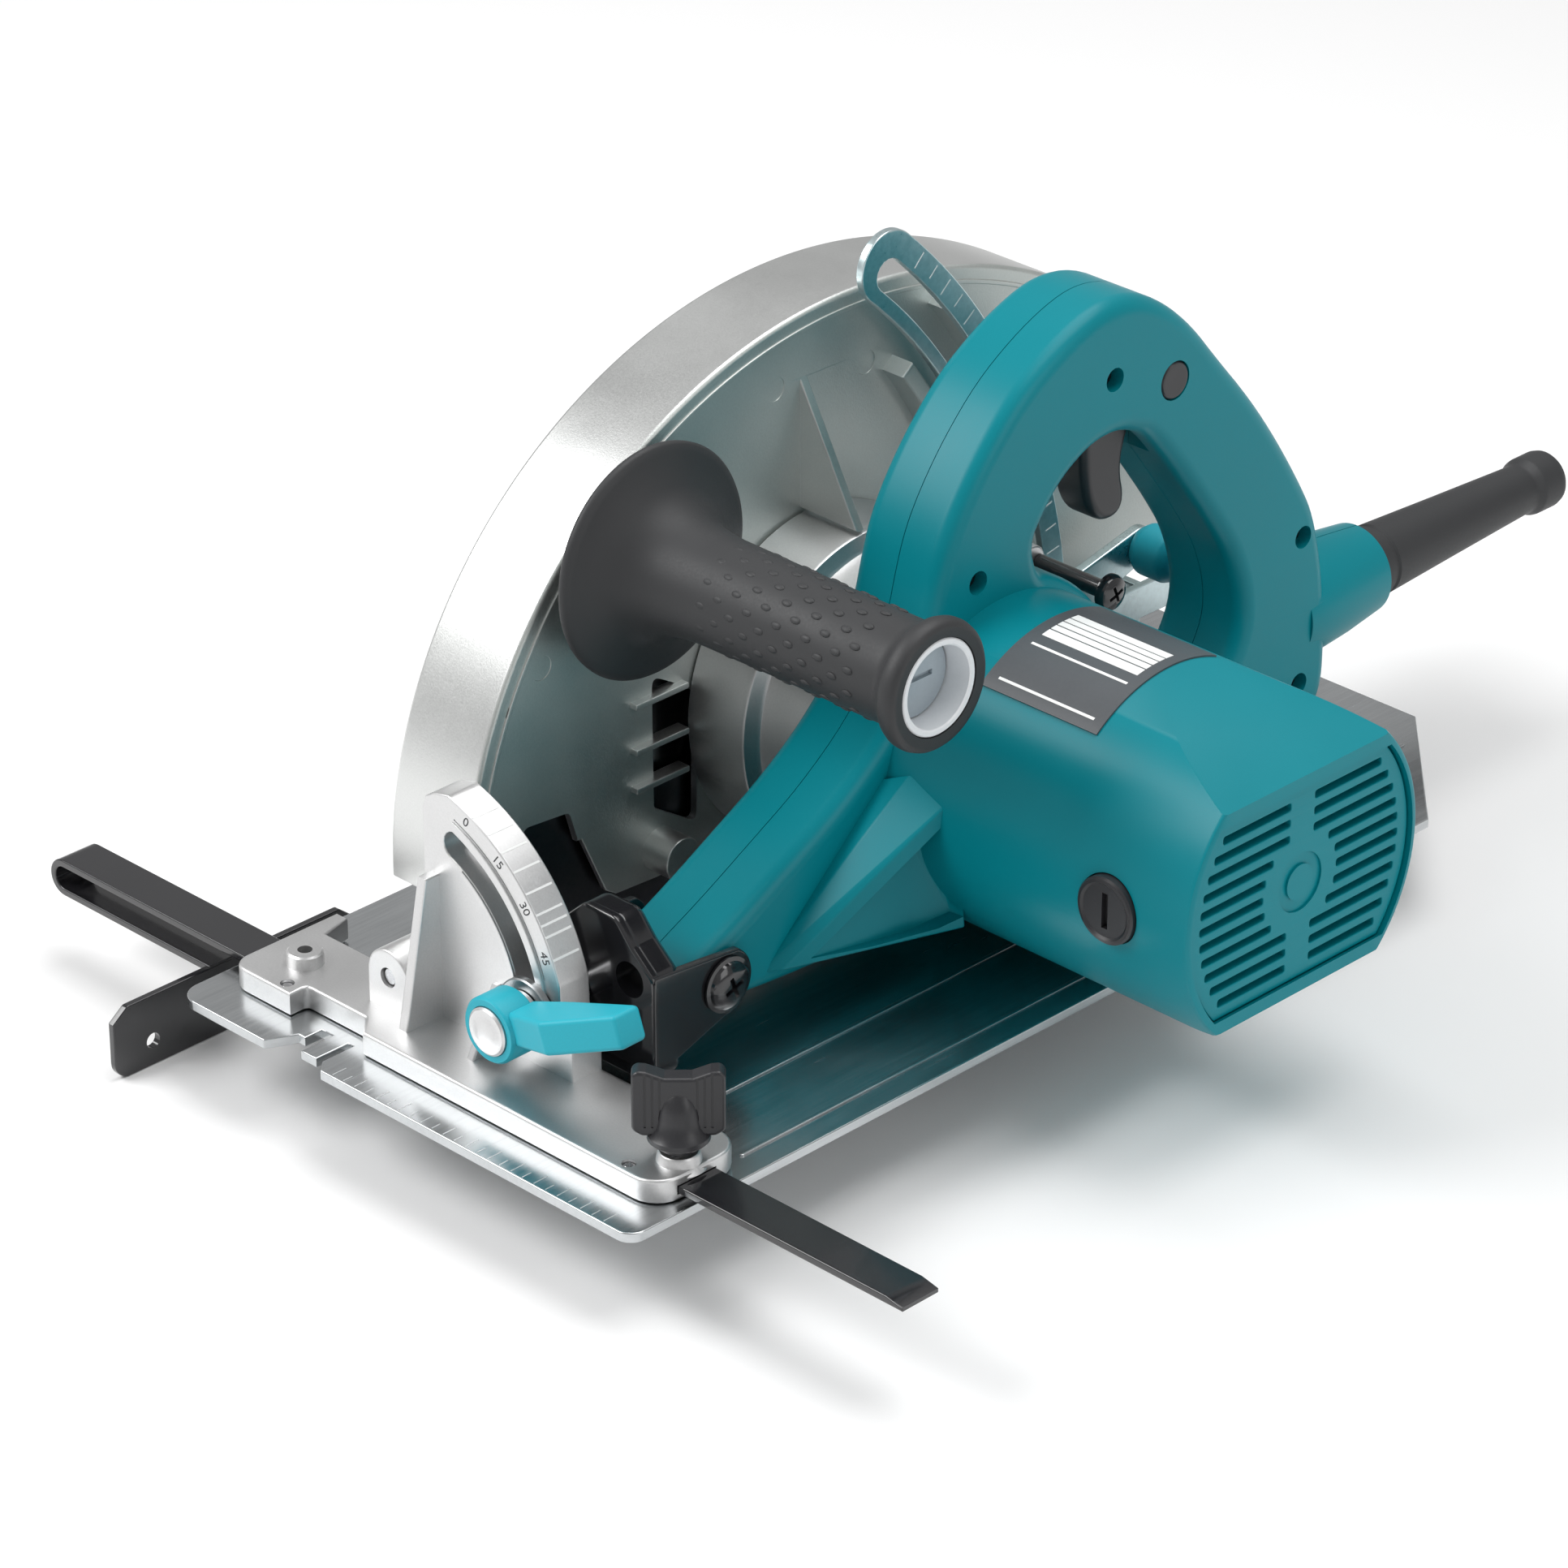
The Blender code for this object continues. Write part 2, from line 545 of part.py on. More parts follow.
def handle_loop():
    """The handle's finger opening, counter-clockwise."""
    right = [(118, 49), (125.5, 62), (125.5, 75), (120, 91), (111, 105), (100, 120), (88, 136)]
    top = [(77, 149), (70, 152.5), (63, 154.5), (55, 154.3), (48, 152.5), (39, 147.5)]
    top += [(33, 142), (29, 137), (24, 129.5)]
    return [(66, 48), (108, 46)] + right + top + arc(MOTOR, 57.5, 72, 2, 8)


def handle_outline():
    """Handle, motor collar and pivot leg in one outline, counter-clockwise from the pivot."""
    leg_bottom = arc(SWING, 11.5, 150, 290, 7) + [(-104, 18), (-50, 14.5)]
    collar = arc(MOTOR, MOTOR_RADIUS, 240, 300, 8)
    rear = [(150, 16), (164, 18), (168, 23), (170.5, 30), (170.8, 42), (169.7, 56.5)]
    rear += [(167.2, 75.5), (162.3, 93.5), (156.6, 104.5), (142.9, 126), (128.3, 145.8)]
    rear += [(111.5, 165), (99, 180)]
    top = [(86, 191.5), (72, 199.5), (58, 201.7), (45, 199), (30, 192.5), (14, 182.5)]
    top += [(0, 168.5), (-10, 155.5)]
    front = [(-17, 143.5), (-21, 131.5), (-25, 115.5), (-32, 100.5), (-43.1, 86), (-63.9, 70.3)]
    front += [(-85.7, 58.7), (-107.3, 47.2)]
    return leg_bottom + collar + rear + top + front


def handle_half(name, start, end, room_start, room_end):
    """One moulded half of the handle: an outer slab, hollowed from the split plane."""
    half = slab(name, "X", [handle_outline(), handle_loop()], start, end)
    room_outline = [inset(handle_outline(), HANDLE_WALL), inset(handle_loop(), -HANDLE_WALL)]
    room = slab(name + "_room", "X", room_outline, room_start, room_end)
    cut(room, bore(name + "_wall", "X", MOTOR, start - 5, end + 5, MOTOR_RADIUS - 0.6, 36))
    cut(half, room)
    return half


SCREWS = ((58.6, 174.9), (-3.0, 125.5), (154.2, 87.7), (155.0, 33.1))
FLANGE_SCREW = (64.6, 97.0)
BUTTON = (87.3, 165.5)
CORD_EXIT = (204.0, 53.0)


def cord_collar(name, low_x, high_x):
    """Half of the round collar that holds the cord guard."""
    profile = [(164, 11.5), (164, 19), (172, 19), (196, 17), (205, 15.5), (205, 11.5)]
    collar = turned(name, "Y", (HANDLE_SPLIT, CORD_EXIT[1]), profile, 16, ring=True)
    cut(collar, box(name + "_trim", (low_x, 150, 20), (high_x, 220, 90)))
    return collar


def make_motor_housing():
    """Near handle half and motor barrel, moulded in one."""
    split = HANDLE_SPLIT + GAP / 2
    housing = handle_half("motor_housing", split, HANDLE_NEAR, split - 3, HANDLE_NEAR - HANDLE_WALL)
    barrel = rod("barrel", "X", MOTOR, split, MOTOR_END, MOTOR_RADIUS, 36)
    bolt_boss = rod("near_bolt_boss", "X", FLANGE_SCREW, split + 0.2, 39, 9.0, 12)
    posts = [rod("near_post", "X", place_yz, split + 0.2, HANDLE_NEAR - 1, 6, 8) for place_yz in SCREWS]
    web = hull("leg_web", [(44, -98, 24), (44, -90, 22), (44, -60, 20), (44, -45, 72), (54.5, -42.4, 76.5),
                           (71.5, -40, 74), (71.5, -34.7, 26), (60, -26, 20), (44, -50, 60), (49, -93, 25)])
    fuse(housing, barrel, bolt_boss, *posts, web)
    facets = []
    for side in (1, -1):
        outline = [(119.5, 54.3), (173, 36.9), (173, 75), (119.5, 75)]
        outline = [(x, MOTOR[1] + side * z) for x, z in outline]
        facets.append(slab("facet", "Y", [outline[::side]], -60, 80))
    room = bore("motor_room", "X", MOTOR, 0, MOTOR_END + 5, MOTOR_BORE, 36)
    for side in (1, -1):
        outline = [(100, 56), (180, 30.2), (180, 75), (100, 75)]
        outline = [(x, MOTOR[1] + side * z) for x, z in outline]
        cut(room, slab("room_facet", "Y", [outline[::side]], -60, 80))
    cut(housing, *facets, room)
    holes = [bore("brush", "Y", (BRUSH_X, MOTOR[1]), -60, 80, 11.6, 14), bore("leg", "X", SWING, 0, 60, 4.4),
             bore("button", "X", BUTTON, 40, 50, 6.7), bore("flange", "X", FLANGE_SCREW, 20, 41, 3.4)]
    holes += [bore("screw_head", "X", place_yz, 38, 50, 4.0, 8) for place_yz in SCREWS]
    holes += [bore("screw", "X", place_yz, 20, 39, 2.2, 6) for place_yz in SCREWS]
    holes.append(box("near_trigger_slot", (20, 55.3, 145), (36.7, 83.5, 166)))
    holes.append(bore("cord_near", "Y", (HANDLE_SPLIT, CORD_EXIT[1]), 160, 180, 18.5))
    cut(housing, *holes)
    fuse(housing, cord_collar("near_collar", 0, split))
    keep(housing, "teal", "swing_axis")


def make_handle_cover():
    """Far handle half, screwed to the motor housing."""
    split = HANDLE_SPLIT - GAP / 2
    cover = handle_half("handle_cover", HANDLE_FAR, split, HANDLE_FAR + HANDLE_WALL, split + 3)
    posts = [rod("far_post", "X", place_yz, HANDLE_FAR + 1, split - 0.2, 6, 8) for place_yz in SCREWS]
    bolt_boss = rod("far_bolt_boss", "X", FLANGE_SCREW, HANDLE_FAR + 0.2, split - 0.2, 9.0, 12)
    fuse(cover, bolt_boss, *posts)
    holes = [bore("far_room", "X", MOTOR, 0, 40, MOTOR_BORE, 36), bore("far_leg", "X", SWING, 0, 60, 4.4),
             bore("far_flange", "X", FLANGE_SCREW, 5, 36, 3.4),
             box("far_trigger_slot", (18.3, 55.3, 145), (36, 83.5, 166))]
    holes += [bore("far_screw", "X", place_yz, 15, 39, 2.2, 6) for place_yz in SCREWS]
    holes.append(bore("cord_far", "Y", (HANDLE_SPLIT, CORD_EXIT[1]), 160, 180, 18.5))
    cut(cover, *holes)
    fuse(cover, cord_collar("far_collar", split, 60))
    keep(cover, "teal", "swing_axis")
    for number, place_yz in enumerate(SCREWS, 1):
        profile = [(15.5, 0), (15.5, 1.9), (39.3, 1.9), (39.3, 3.6), (42, 3.6), (42, 0)]
        keep(turned(f"handle_screw_{number}", "X", place_yz, profile, 10), "dark_steel", "swing_axis")
    profile = [(9.6, 0), (9.6, 3.0), (39.3, 3.0), (39.3, 6.2), (42.5, 5.6), (43.5, 0)]
    keep(turned("flange_screw", "X", FLANGE_SCREW, profile, 12), "black_paint", "swing_axis")


def make_end_cover():
    """Slotted motor end cover, set into the barrel's rim."""
    radius, flat = 50.6, 33.3
    edge = math.degrees(math.asin(flat / radius))
    outline = arc(MOTOR, radius, -edge, edge, 12) + arc(MOTOR, radius, 180 - edge, 180 + edge, 12)
    slots = []
    pitch, width = 5.6, 2.7
    for row in range(-5, 6):
        height = row * pitch
        reach = math.sqrt((radius - 4.5) ** 2 - height ** 2)
        start = 5.5 if abs(height) > 16 else math.sqrt(17 ** 2 - height ** 2)
        for side in (-1, 1):
            ends = sorted((MOTOR[0] + side * start, MOTOR[0] + side * reach))
            low = MOTOR[1] + height - width / 2
            slots.append([(ends[0], low), (ends[1], low), (ends[1], low + width), (ends[0], low + width)])
    cover = slab("end_cover", "X", [outline] + slots, 164.5, 169)
    seat = [(158, 12.9), (158, 15.5), (165, 15.5), (165, 12.9)]
    fuse(cover, turned("bearing_seat", "X", MOTOR, seat, 24, ring=True))
    keep(cover, "teal", "swing_axis")


def make_brush_gear():
    """Carbon brushes, each behind a screwed cap in the side of the barrel."""
    for side, word in ((-1, "front"), (1, "rear")):
        reach = sorted((MOTOR[0] + side * 45.5, MOTOR[0] + side * 56))
        cap = rod(f"brush_cap_{word}", "Y", (BRUSH_X, MOTOR[1]), *reach, 11.2, 20)
        outer = MOTOR[0] + side * 56
        notch = sorted((outer - side * 2.2, outer + side * 2))
        low, high = (BRUSH_X - 1.2, notch[0], MOTOR[1] - 5), (BRUSH_X + 1.2, notch[1], MOTOR[1] + 5)
        cut(cap, box("cap_slot", low, high))
        keep(cap, "black_plastic", "swing_axis")
        span = sorted((MOTOR[0] + side * 17.4, MOTOR[0] + side * 45))
        low, high = (BRUSH_X - 5, span[0], MOTOR[1] - 4), (BRUSH_X + 5, span[1], MOTOR[1] + 4)
        keep(box(f"carbon_brush_{word}", low, high), "carbon", "swing_axis")


def make_motor_inside():
    """Field stator and the bearings that carry the shafts."""
    stator = [(50, 28), (50, 50.8), (112, 50.8), (112, 28)]
    keep(turned("field_stator", "X", MOTOR, stator, 20, ring=True), "dark_steel", "swing_axis")
    bearings = (("pinion_bearing", MOTOR, -20.6, -10, 5.3, 10.7), ("rear_bearing", MOTOR, 157, 164, 5.3, 12.6),
                ("spindle_bearing", SPINDLE, -41.8, -36.4, 7.3, 16.0))
    for name, across, start, end, inner, outer in bearings:
        ring = [(start, inner), (start, outer), (end, outer), (end, inner)]
        keep(turned(name, "X", across, ring, 16, ring=True), "steel", "swing_axis")
    plate = sector(MOTOR, MOTOR_RADIUS + GAP, MOTOR_RADIUS + 0.9, 67, 128, 12)
    keep(slab("nameplate", "X", [plate], 66.5, 114.5), "label", "swing_axis")


def make_side_grip():
    """Front grip bar with a hand flange, its end ring, cap and long bolt."""
    outside = [(-25, 5.4), (-25, 37), (-23, 39), (-21, 38.5), (-19, 33), (-16, 26), (-10, 21)]
    outside += [(-3, 18.5), (8, 17), (90, 16.5), (94, 20.5), (97, 21.4), (100.5, 20)]
    outside += [(100.5, 16), (84, 16), (84, 5.4)]
    keep(turned("side_grip", "X", GRIP, outside, 20, ring=True), "rubber", "swing_axis")
    ring = [(84.3, 13.4), (84.3, 15.7), (100.3, 15.7), (100.3, 13.4)]
    keep(turned("grip_end_ring", "X", GRIP, ring, 16, ring=True), "white", "swing_axis")
    keep(rod("grip_cap", "X", GRIP, 87.5, 91, 13.1, 16), "white", "swing_axis")
    bolt = [(-40.5, 0), (-40.5, 5), (84.3, 5), (84.3, 8), (87, 8), (87, 0)]
    keep(turned("grip_bolt", "X", GRIP, bolt, 16), "steel", "swing_axis")


def make_cord_guard():
    """Rubber sleeve that keeps the cord from kinking where it leaves the handle."""
    start, end = 189.0, 308.0
    profile = [(start, 4.4), (start, 11.2), (205.6, 11.2), (205.6, 13), (212, 12.6), (292, 8.8)]
    profile += [(296, 10.4), (304, 10.4), (end, 9), (end, 4.4)]
    guard = turned("cord_guard", "Y", (HANDLE_SPLIT, CORD_EXIT[1]), profile, 16, ring=True)
    keep(guard, "rubber", "swing_axis")


def make_switch_gear():
    """Power switch, the trigger that works it, and the button that locks it."""
    keep(box("switch_block", (16, 65.5, 167), (39, 80.2, 185)), "black_plastic", "swing_axis")
    outline = [(56.5, 160), (57, 138), (60, 126), (66, 119), (74, 118.5), (78, 124), (75, 136)]
    outline += [(78, 148), (82, 155), (80, 162), (60, 164)]
    trigger = slab("trigger", "X", [outline], 20, 35)
    keep(trigger, "black_plastic", "trigger_axis")
    keep(rod("lock_button", "X", BUTTON, 36, HANDLE_NEAR + 0.2, 6.3, 20), "black_plastic", "button_axis")


def make_depth_lock():
    """Bolt in the depth guide's slot, with the lever that clamps it."""
    centre = polar(SWING, GUIDE_RADIUS, GUIDE_ANGLE)
    keep(rod("depth_lock_bolt", "X", centre, -41, -18, 4.0, 16), "steel", "swing_axis")
    y, z = centre
    knob = (150.0, 63.5)
    arm_outline = arc(centre, 9, 105, 285, 8) + arc(knob, 6.5, -75, 105, 6)
    arm = slab("depth_lever", "X", [arm_outline], -25.4, -21.4)
    cut(arm, bore("lever_bolt", "X", centre, -30, -10, 4.3))
    keep(arm, "zinc", "depth_lever_axis")
    profile = [(-21.1, 0), (-21.1, 7), (-18, 9.2), (-8, 9.2), (-5, 6.5), (-5, 0)]
    keep(turned("depth_lever_knob", "X", knob, profile, 16), "cyan", "depth_lever_axis")


# ------------------------------------------------------ blade, guard, shafts

def make_blade():
    """Carbide-tipped blade with its flanges, bolt and spindle."""
    step = 360 / BLADE_TEETH
    outline = []
    for tooth in range(BLADE_TEETH):
        base = tooth * step
        for part, radius in ((0.0, BLADE_RADIUS), (0.30, BLADE_RADIUS - 2.2), (0.62, BLADE_RADIUS - 3.5),
                             (0.74, BLADE_RADIUS - 10), (0.90, BLADE_RADIUS - 9)):
            outline.append(polar(SPINDLE, radius, base + part * step))
    hole = arc(SPINDLE, 12.5, 0, 360, 24)[:-1]
    keep(slab("saw_blade", "X", [outline, hole], BLADE_X - 1.1, BLADE_X + 1.1), "steel", "spindle_axis")
    inner = [(-52.8, 7.4), (-52.8, 12.2), (-50.1, 12.2), (-50.1, 22), (-44.2, 22), (-44.2, 7.4)]
    keep(turned("inner_flange", "X", SPINDLE, inner, 16, ring=True), "steel", "spindle_axis")
    outer = [(-57, 7.4), (-55, 22), (-53.1, 22), (-53.1, 7.4)]
    keep(turned("outer_flange", "X", SPINDLE, outer, 16, ring=True), "steel", "spindle_axis")
    profile = [(-64, 0), (-64, 8.5), (-58.5, 8.5), (-58.5, 11), (-57.3, 11), (-57.3, 4), (-44, 4), (-44, 0)]
    bolt = turned("blade_bolt", "X", SPINDLE, profile, 6)
    keep(bolt, "dark_steel", "spindle_axis")
    shaft = [(-43.5, 0), (-43.5, 4.4), (-56.8, 4.4), (-56.8, 7), (-15, 7), (-15, 0)]
    keep(turned("spindle", "X", SPINDLE, shaft, 16), "steel", "spindle_axis")
    hole = arc(SPINDLE, 7.3, 0, 360, 16)[:-1]
    gear = slab("drive_gear", "X", [gear_outline(SPINDLE, DRIVE_TEETH), hole], -35.6, -25.8)
    keep(gear, "steel", "spindle_axis")


def make_armature():
    """Armature: pinion shaft, wound core, commutator and cooling fan."""
    shaft = rod("armature_shaft", "X", MOTOR, -25.5, 163.5, 5.0, 16)
    line = math.degrees(math.atan2(MOTOR[1] - SPINDLE[1], MOTOR[0] - SPINDLE[0]))
    turn = 360 / DRIVE_TEETH
    offset = (line % turn) / turn
    facing = (line + 180) * PINION_TEETH / 360
    pinion = slab("pinion", "X", [gear_outline(MOTOR, PINION_TEETH, facing + offset + 0.5)], -35.6, -25.2)
    fuse(shaft, pinion)
    keep(shaft, "steel", "armature_axis")
    core = [(44, 5.3), (44, 22), (54, 27), (108, 27), (118, 22), (118, 5.3)]
    keep(turned("armature_core", "X", MOTOR, core, 16, ring=True), "copper", "armature_axis")
    bars = [(127, 5.3), (127, 17), (151, 17), (151, 5.3)]
    keep(turned("commutator", "X", MOTOR, bars, 16, ring=True), "copper", "armature_axis")
    profile = [(-7, 5.3), (-7, 12), (8, 12), (8, 46), (10, 46), (10, 5.3)]
    hub = turned("cooling_fan", "X", MOTOR, profile, 18, ring=True)
    blades = []
    for number in range(9):
        blade = box("fan_blade", (-6, -16.5, -0.9), (8.5, 16.5, 0.9))
        blade.matrix_world = (
            Matrix.Translation(Vector((1.25, *MOTOR)) * MM)
            @ Matrix.Rotation(math.radians(40 * number), 4, "X")
            @ Matrix.Translation(Vector((0, 27.5, 0)) * MM)
            @ Matrix.Rotation(math.radians(20), 4, "X")
        )
        blades.append(blade)
    fuse(hub, *blades)
    keep(hub, "black_plastic", "armature_axis")


GUARD_RADIUS = 141.0


def make_lower_guard():
    """Sheet-steel lower guard: a U-shaped band that turns about the spindle's housing."""
    rim = sector(SPINDLE, GUARD_RADIUS - 1.6, GUARD_RADIUS, 170, 345, 28)
    guard = slab("lower_guard", "X", [rim], -60, -45)
    web = GUARD_RADIUS - 0.8
    near = arc(SPINDLE, web, 170.2, 344.8, 28) + arc(SPINDLE, 38, 344.8, 530.2, 16)
    hole = arc(SPINDLE, 30.4, 0, 360, 24)[:-1]
    far = sector(SPINDLE, 60, web, 170.2, 344.8, 28)
    fuse(guard, slab("near_web", "X", [near, hole], -46.4, -45.1), slab("far_web", "X", [far], -59.9, -58.4))
    keep(guard, "dark_steel", "guard_axis")


def make_guard_spring():
    """Open ring of the return spring, between the guard and the case wall."""
    curve = bpy.data.curves.new("guard_spring", "CURVE")
    curve.dimensions = "3D"
    curve.bevel_depth = 0.9 * MM
    curve.bevel_resolution = 1
    curve.use_fill_caps = True
    points = arc(SPINDLE, 34, 20, 340, 30)
    spline = curve.splines.new("POLY")
    spline.points.add(len(points) - 1)
    for point, (y, z) in zip(spline.points, points):
        point.co = (y * MM, z * MM, 0, 1)
    keep(place("guard_spring", curve, "X", (0, 0), -43.5), "steel", "swing_axis")


make_base_plate()
make_angular_guide()
make_rear_pivot_lug()
make_rip_fence()
make_clamp_knob()
make_pivot_bracket()
make_bevel_clamp()
make_tilt_pins()
make_depth_guide()
make_blade_case()
make_gear_housing()
make_motor_housing()
make_handle_cover()
make_end_cover()
make_brush_gear()
make_motor_inside()
make_side_grip()
make_cord_guard()
make_switch_gear()
make_depth_lock()
make_blade()
make_armature()
make_lower_guard()
make_guard_spring()
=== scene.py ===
"""Looks of a 270 mm circular saw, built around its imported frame.

World frame: the sole of the base is Z = 0, the saw cuts towards -Y, the motor lies along +X.
Lengths in this file are millimetres and become metres where a mesh is made.
"""

import math

import bmesh
import bpy
from mathutils import Matrix, Vector


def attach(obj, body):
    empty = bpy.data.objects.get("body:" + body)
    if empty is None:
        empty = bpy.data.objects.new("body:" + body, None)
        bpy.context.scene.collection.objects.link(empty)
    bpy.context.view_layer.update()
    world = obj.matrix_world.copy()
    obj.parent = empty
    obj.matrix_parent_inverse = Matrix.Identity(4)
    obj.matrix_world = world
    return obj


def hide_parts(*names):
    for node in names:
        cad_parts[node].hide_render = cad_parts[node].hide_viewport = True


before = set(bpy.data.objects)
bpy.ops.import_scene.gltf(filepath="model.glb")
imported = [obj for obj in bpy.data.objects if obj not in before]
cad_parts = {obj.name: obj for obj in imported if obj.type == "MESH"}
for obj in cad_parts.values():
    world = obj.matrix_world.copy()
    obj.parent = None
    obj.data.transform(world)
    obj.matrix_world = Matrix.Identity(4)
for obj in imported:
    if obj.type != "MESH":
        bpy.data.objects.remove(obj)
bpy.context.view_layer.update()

# ------------------------------------------------------------ camera, floor and light
# A long lens from the motor side, a pale seamless floor, one large soft key from the upper left,
# a soft top light and a weak fill, so that metal edges shine and flat faces stay calm.

MM = 0.001
LIGHT_AIM = (0, 0, 0.08)
camera_data = bpy.data.cameras.new("camera")
camera_data.lens = 142.57
camera_data.sensor_width = 36
camera_data.clip_end = 20
camera = bpy.data.objects.new("camera", camera_data)
camera.location = (1.2226, -1.2761, 0.9736)
camera.rotation_euler = (math.radians(62.07), 0, math.radians(44.75))
bpy.context.scene.collection.objects.link(camera)
bpy.context.scene.camera = camera
bpy.context.scene.view_settings.view_transform = "Standard"


def soft_light(name, place, size, power):
    data = bpy.data.lights.new(name, "AREA")
    data.shape = "RECTANGLE"
    data.size, data.size_y = size
    data.energy = power
    light = bpy.data.objects.new(name, data)
    light.location = place
    light.rotation_euler = (Vector(LIGHT_AIM) - Vector(place)).to_track_quat("-Z", "Y").to_euler()
    bpy.context.scene.collection.objects.link(light)


soft_light("key_light", (-0.9, -1.1, 1.3), (1.2, 0.8), 23)
soft_light("top_light", (0.1, 0.4, 1.7), (1.6, 1.0), 18)
soft_light("fill_light", (1.6, 0.1, 0.7), (0.7, 1.0), 4)

world = bpy.data.worlds.new("studio")
world.use_nodes = True
world.node_tree.nodes["Background"].inputs["Color"].default_value = (1, 1, 1, 1)
world.node_tree.nodes["Background"].inputs["Strength"].default_value = 0.42
bpy.context.scene.world = world

FLOOR_Z = -27.6  # the fence plate hangs below the sole
floor_mesh = bpy.data.meshes.new("floor")
floor_bm = bmesh.new()
bmesh.ops.create_grid(floor_bm, x_segments=2, y_segments=2, size=6)
bmesh.ops.translate(floor_bm, vec=(0, 0, FLOOR_Z * MM), verts=floor_bm.verts)
floor_bm.to_mesh(floor_mesh)
floor_bm.free()
floor = bpy.data.objects.new("floor", floor_mesh)
bpy.context.scene.collection.objects.link(floor)
floor_paint = bpy.data.materials.new("floor_paint")
floor_paint.use_nodes = True
floor_paint.node_tree.nodes["Principled BSDF"].inputs["Base Color"].default_value = (0.92, 0.92, 0.92, 1)
floor_paint.node_tree.nodes["Principled BSDF"].inputs["Roughness"].default_value = 0.7
floor_mesh.materials.append(floor_paint)

# ------------------------------------------------------------ base plate
# The flat sole is 3.5 mm aluminium sheet, blanked and brushed along its length.
# Two pressed beads stiffen its motor side, and a rule is engraved along the front edge.

AXIS_TURN = {
    "X": Matrix(((0, 0, 1), (1, 0, 0), (0, 1, 0))),  # an outline's x, y become Y, Z
    "Y": Matrix(((1, 0, 0), (0, 0, -1), (0, 1, 0))),  # an outline's x, y become X, Z
    "Z": Matrix.Identity(3),
}
SHEET = (0.56, 0.58, 0.59)
NOISE_SPAN = {"From Min": 0.6, "From Max": 1.4}  # where two added noises mostly lie


def set_node(nodes, kind, values):
    """A new shader node with its inputs set."""
    node = nodes.new(kind)
    for key, value in values.items():
        node.inputs[key].default_value = value
    return node


def grained(name, colour, roughness, metallic, grain=900, relief=0.02, shift=0.12, stretch=(1, 1, 1),
            coat=0.0, shine=0.5):
    """A finish with fine grain: the noise moves its colour and gloss a little and lifts its surface."""
    material = bpy.data.materials.new(name)
    material.use_nodes = True
    nodes, links = material.node_tree.nodes, material.node_tree.links
    shader = nodes["Principled BSDF"]
    shader.inputs["Metallic"].default_value = metallic
    shader.inputs["Specular IOR Level"].default_value = shine
    if coat:
        shader.inputs["Coat Weight"].default_value = coat
        shader.inputs["Coat Roughness"].default_value = 0.08
    place = nodes.new("ShaderNodeTexCoord")
    mapping = nodes.new("ShaderNodeMapping")
    mapping.inputs["Scale"].default_value = stretch
    fine = set_node(nodes, "ShaderNodeTexNoise", {"Scale": grain, "Detail": 3})
    broad = set_node(nodes, "ShaderNodeTexNoise", {"Scale": 28, "Detail": 4})
    links.new(place.outputs["Object"], mapping.inputs["Vector"])
    links.new(mapping.outputs["Vector"], fine.inputs["Vector"])
    links.new(place.outputs["Object"], broad.inputs["Vector"])
    mixed = nodes.new("ShaderNodeMath")
    mixed.operation = "ADD"
    links.new(fine.outputs["Fac"], mixed.inputs[0])
    links.new(broad.outputs["Fac"], mixed.inputs[1])
    tint = set_node(nodes, "ShaderNodeMapRange", {**NOISE_SPAN, "To Min": 1 - shift, "To Max": 1 + shift})
    links.new(mixed.outputs["Value"], tint.inputs["Value"])
    scaled = nodes.new("ShaderNodeVectorMath")
    scaled.operation = "SCALE"
    scaled.inputs[0].default_value = colour
    links.new(tint.outputs["Result"], scaled.inputs["Scale"])
    links.new(scaled.outputs["Vector"], shader.inputs["Base Color"])
    gloss = set_node(nodes, "ShaderNodeMapRange",
                     {**NOISE_SPAN, "To Min": roughness * 0.85, "To Max": min(1.0, roughness * 1.15)})
    links.new(mixed.outputs["Value"], gloss.inputs["Value"])
    links.new(gloss.outputs["Result"], shader.inputs["Roughness"])
    bump = set_node(nodes, "ShaderNodeBump", {"Strength": 0.5, "Distance": relief * MM})
    links.new(fine.outputs["Fac"], bump.inputs["Height"])
    links.new(bump.outputs["Normal"], shader.inputs["Normal"])
    material.diffuse_color = (*colour, 1)
    return material


def rounded(points, radius, steps=4, closed=True):
    """The outline with each corner turned into an arc of the radius, or less where a side is short."""
    result = []
    count = len(points)
    for i, point in enumerate(points):
        here = Vector(point)
        if not closed and i in (0, count - 1):
            result.append(tuple(here))
            continue
        before = Vector(points[i - 1]) - here
        after = Vector(points[(i + 1) % count]) - here
        angle = before.angle(after, math.pi)
        if angle > math.radians(172) or angle < math.radians(4):
            result.append(tuple(here))
            continue
        reach = min(radius / math.tan(angle / 2), before.length * 0.45, after.length * 0.45)
        start = here + before.normalized() * reach
        end = here + after.normalized() * reach
        for step in range(steps + 1):
            t = step / steps
            bend = start * (1 - t) ** 2 + here * 2 * t * (1 - t) + end * t * t
            result.append(tuple(bend))
    return result


def polar(centre, radius, degrees):
    """The point at the radius and angle from the centre."""
    a = math.radians(degrees)
    return centre[0] + radius * math.cos(a), centre[1] + radius * math.sin(a)


def arc(centre, radius, start, end, steps):
    """Points on an arc, from the start angle to the end angle in degrees."""
    return [polar(centre, radius, start + (end - start) * i / steps) for i in range(steps + 1)]


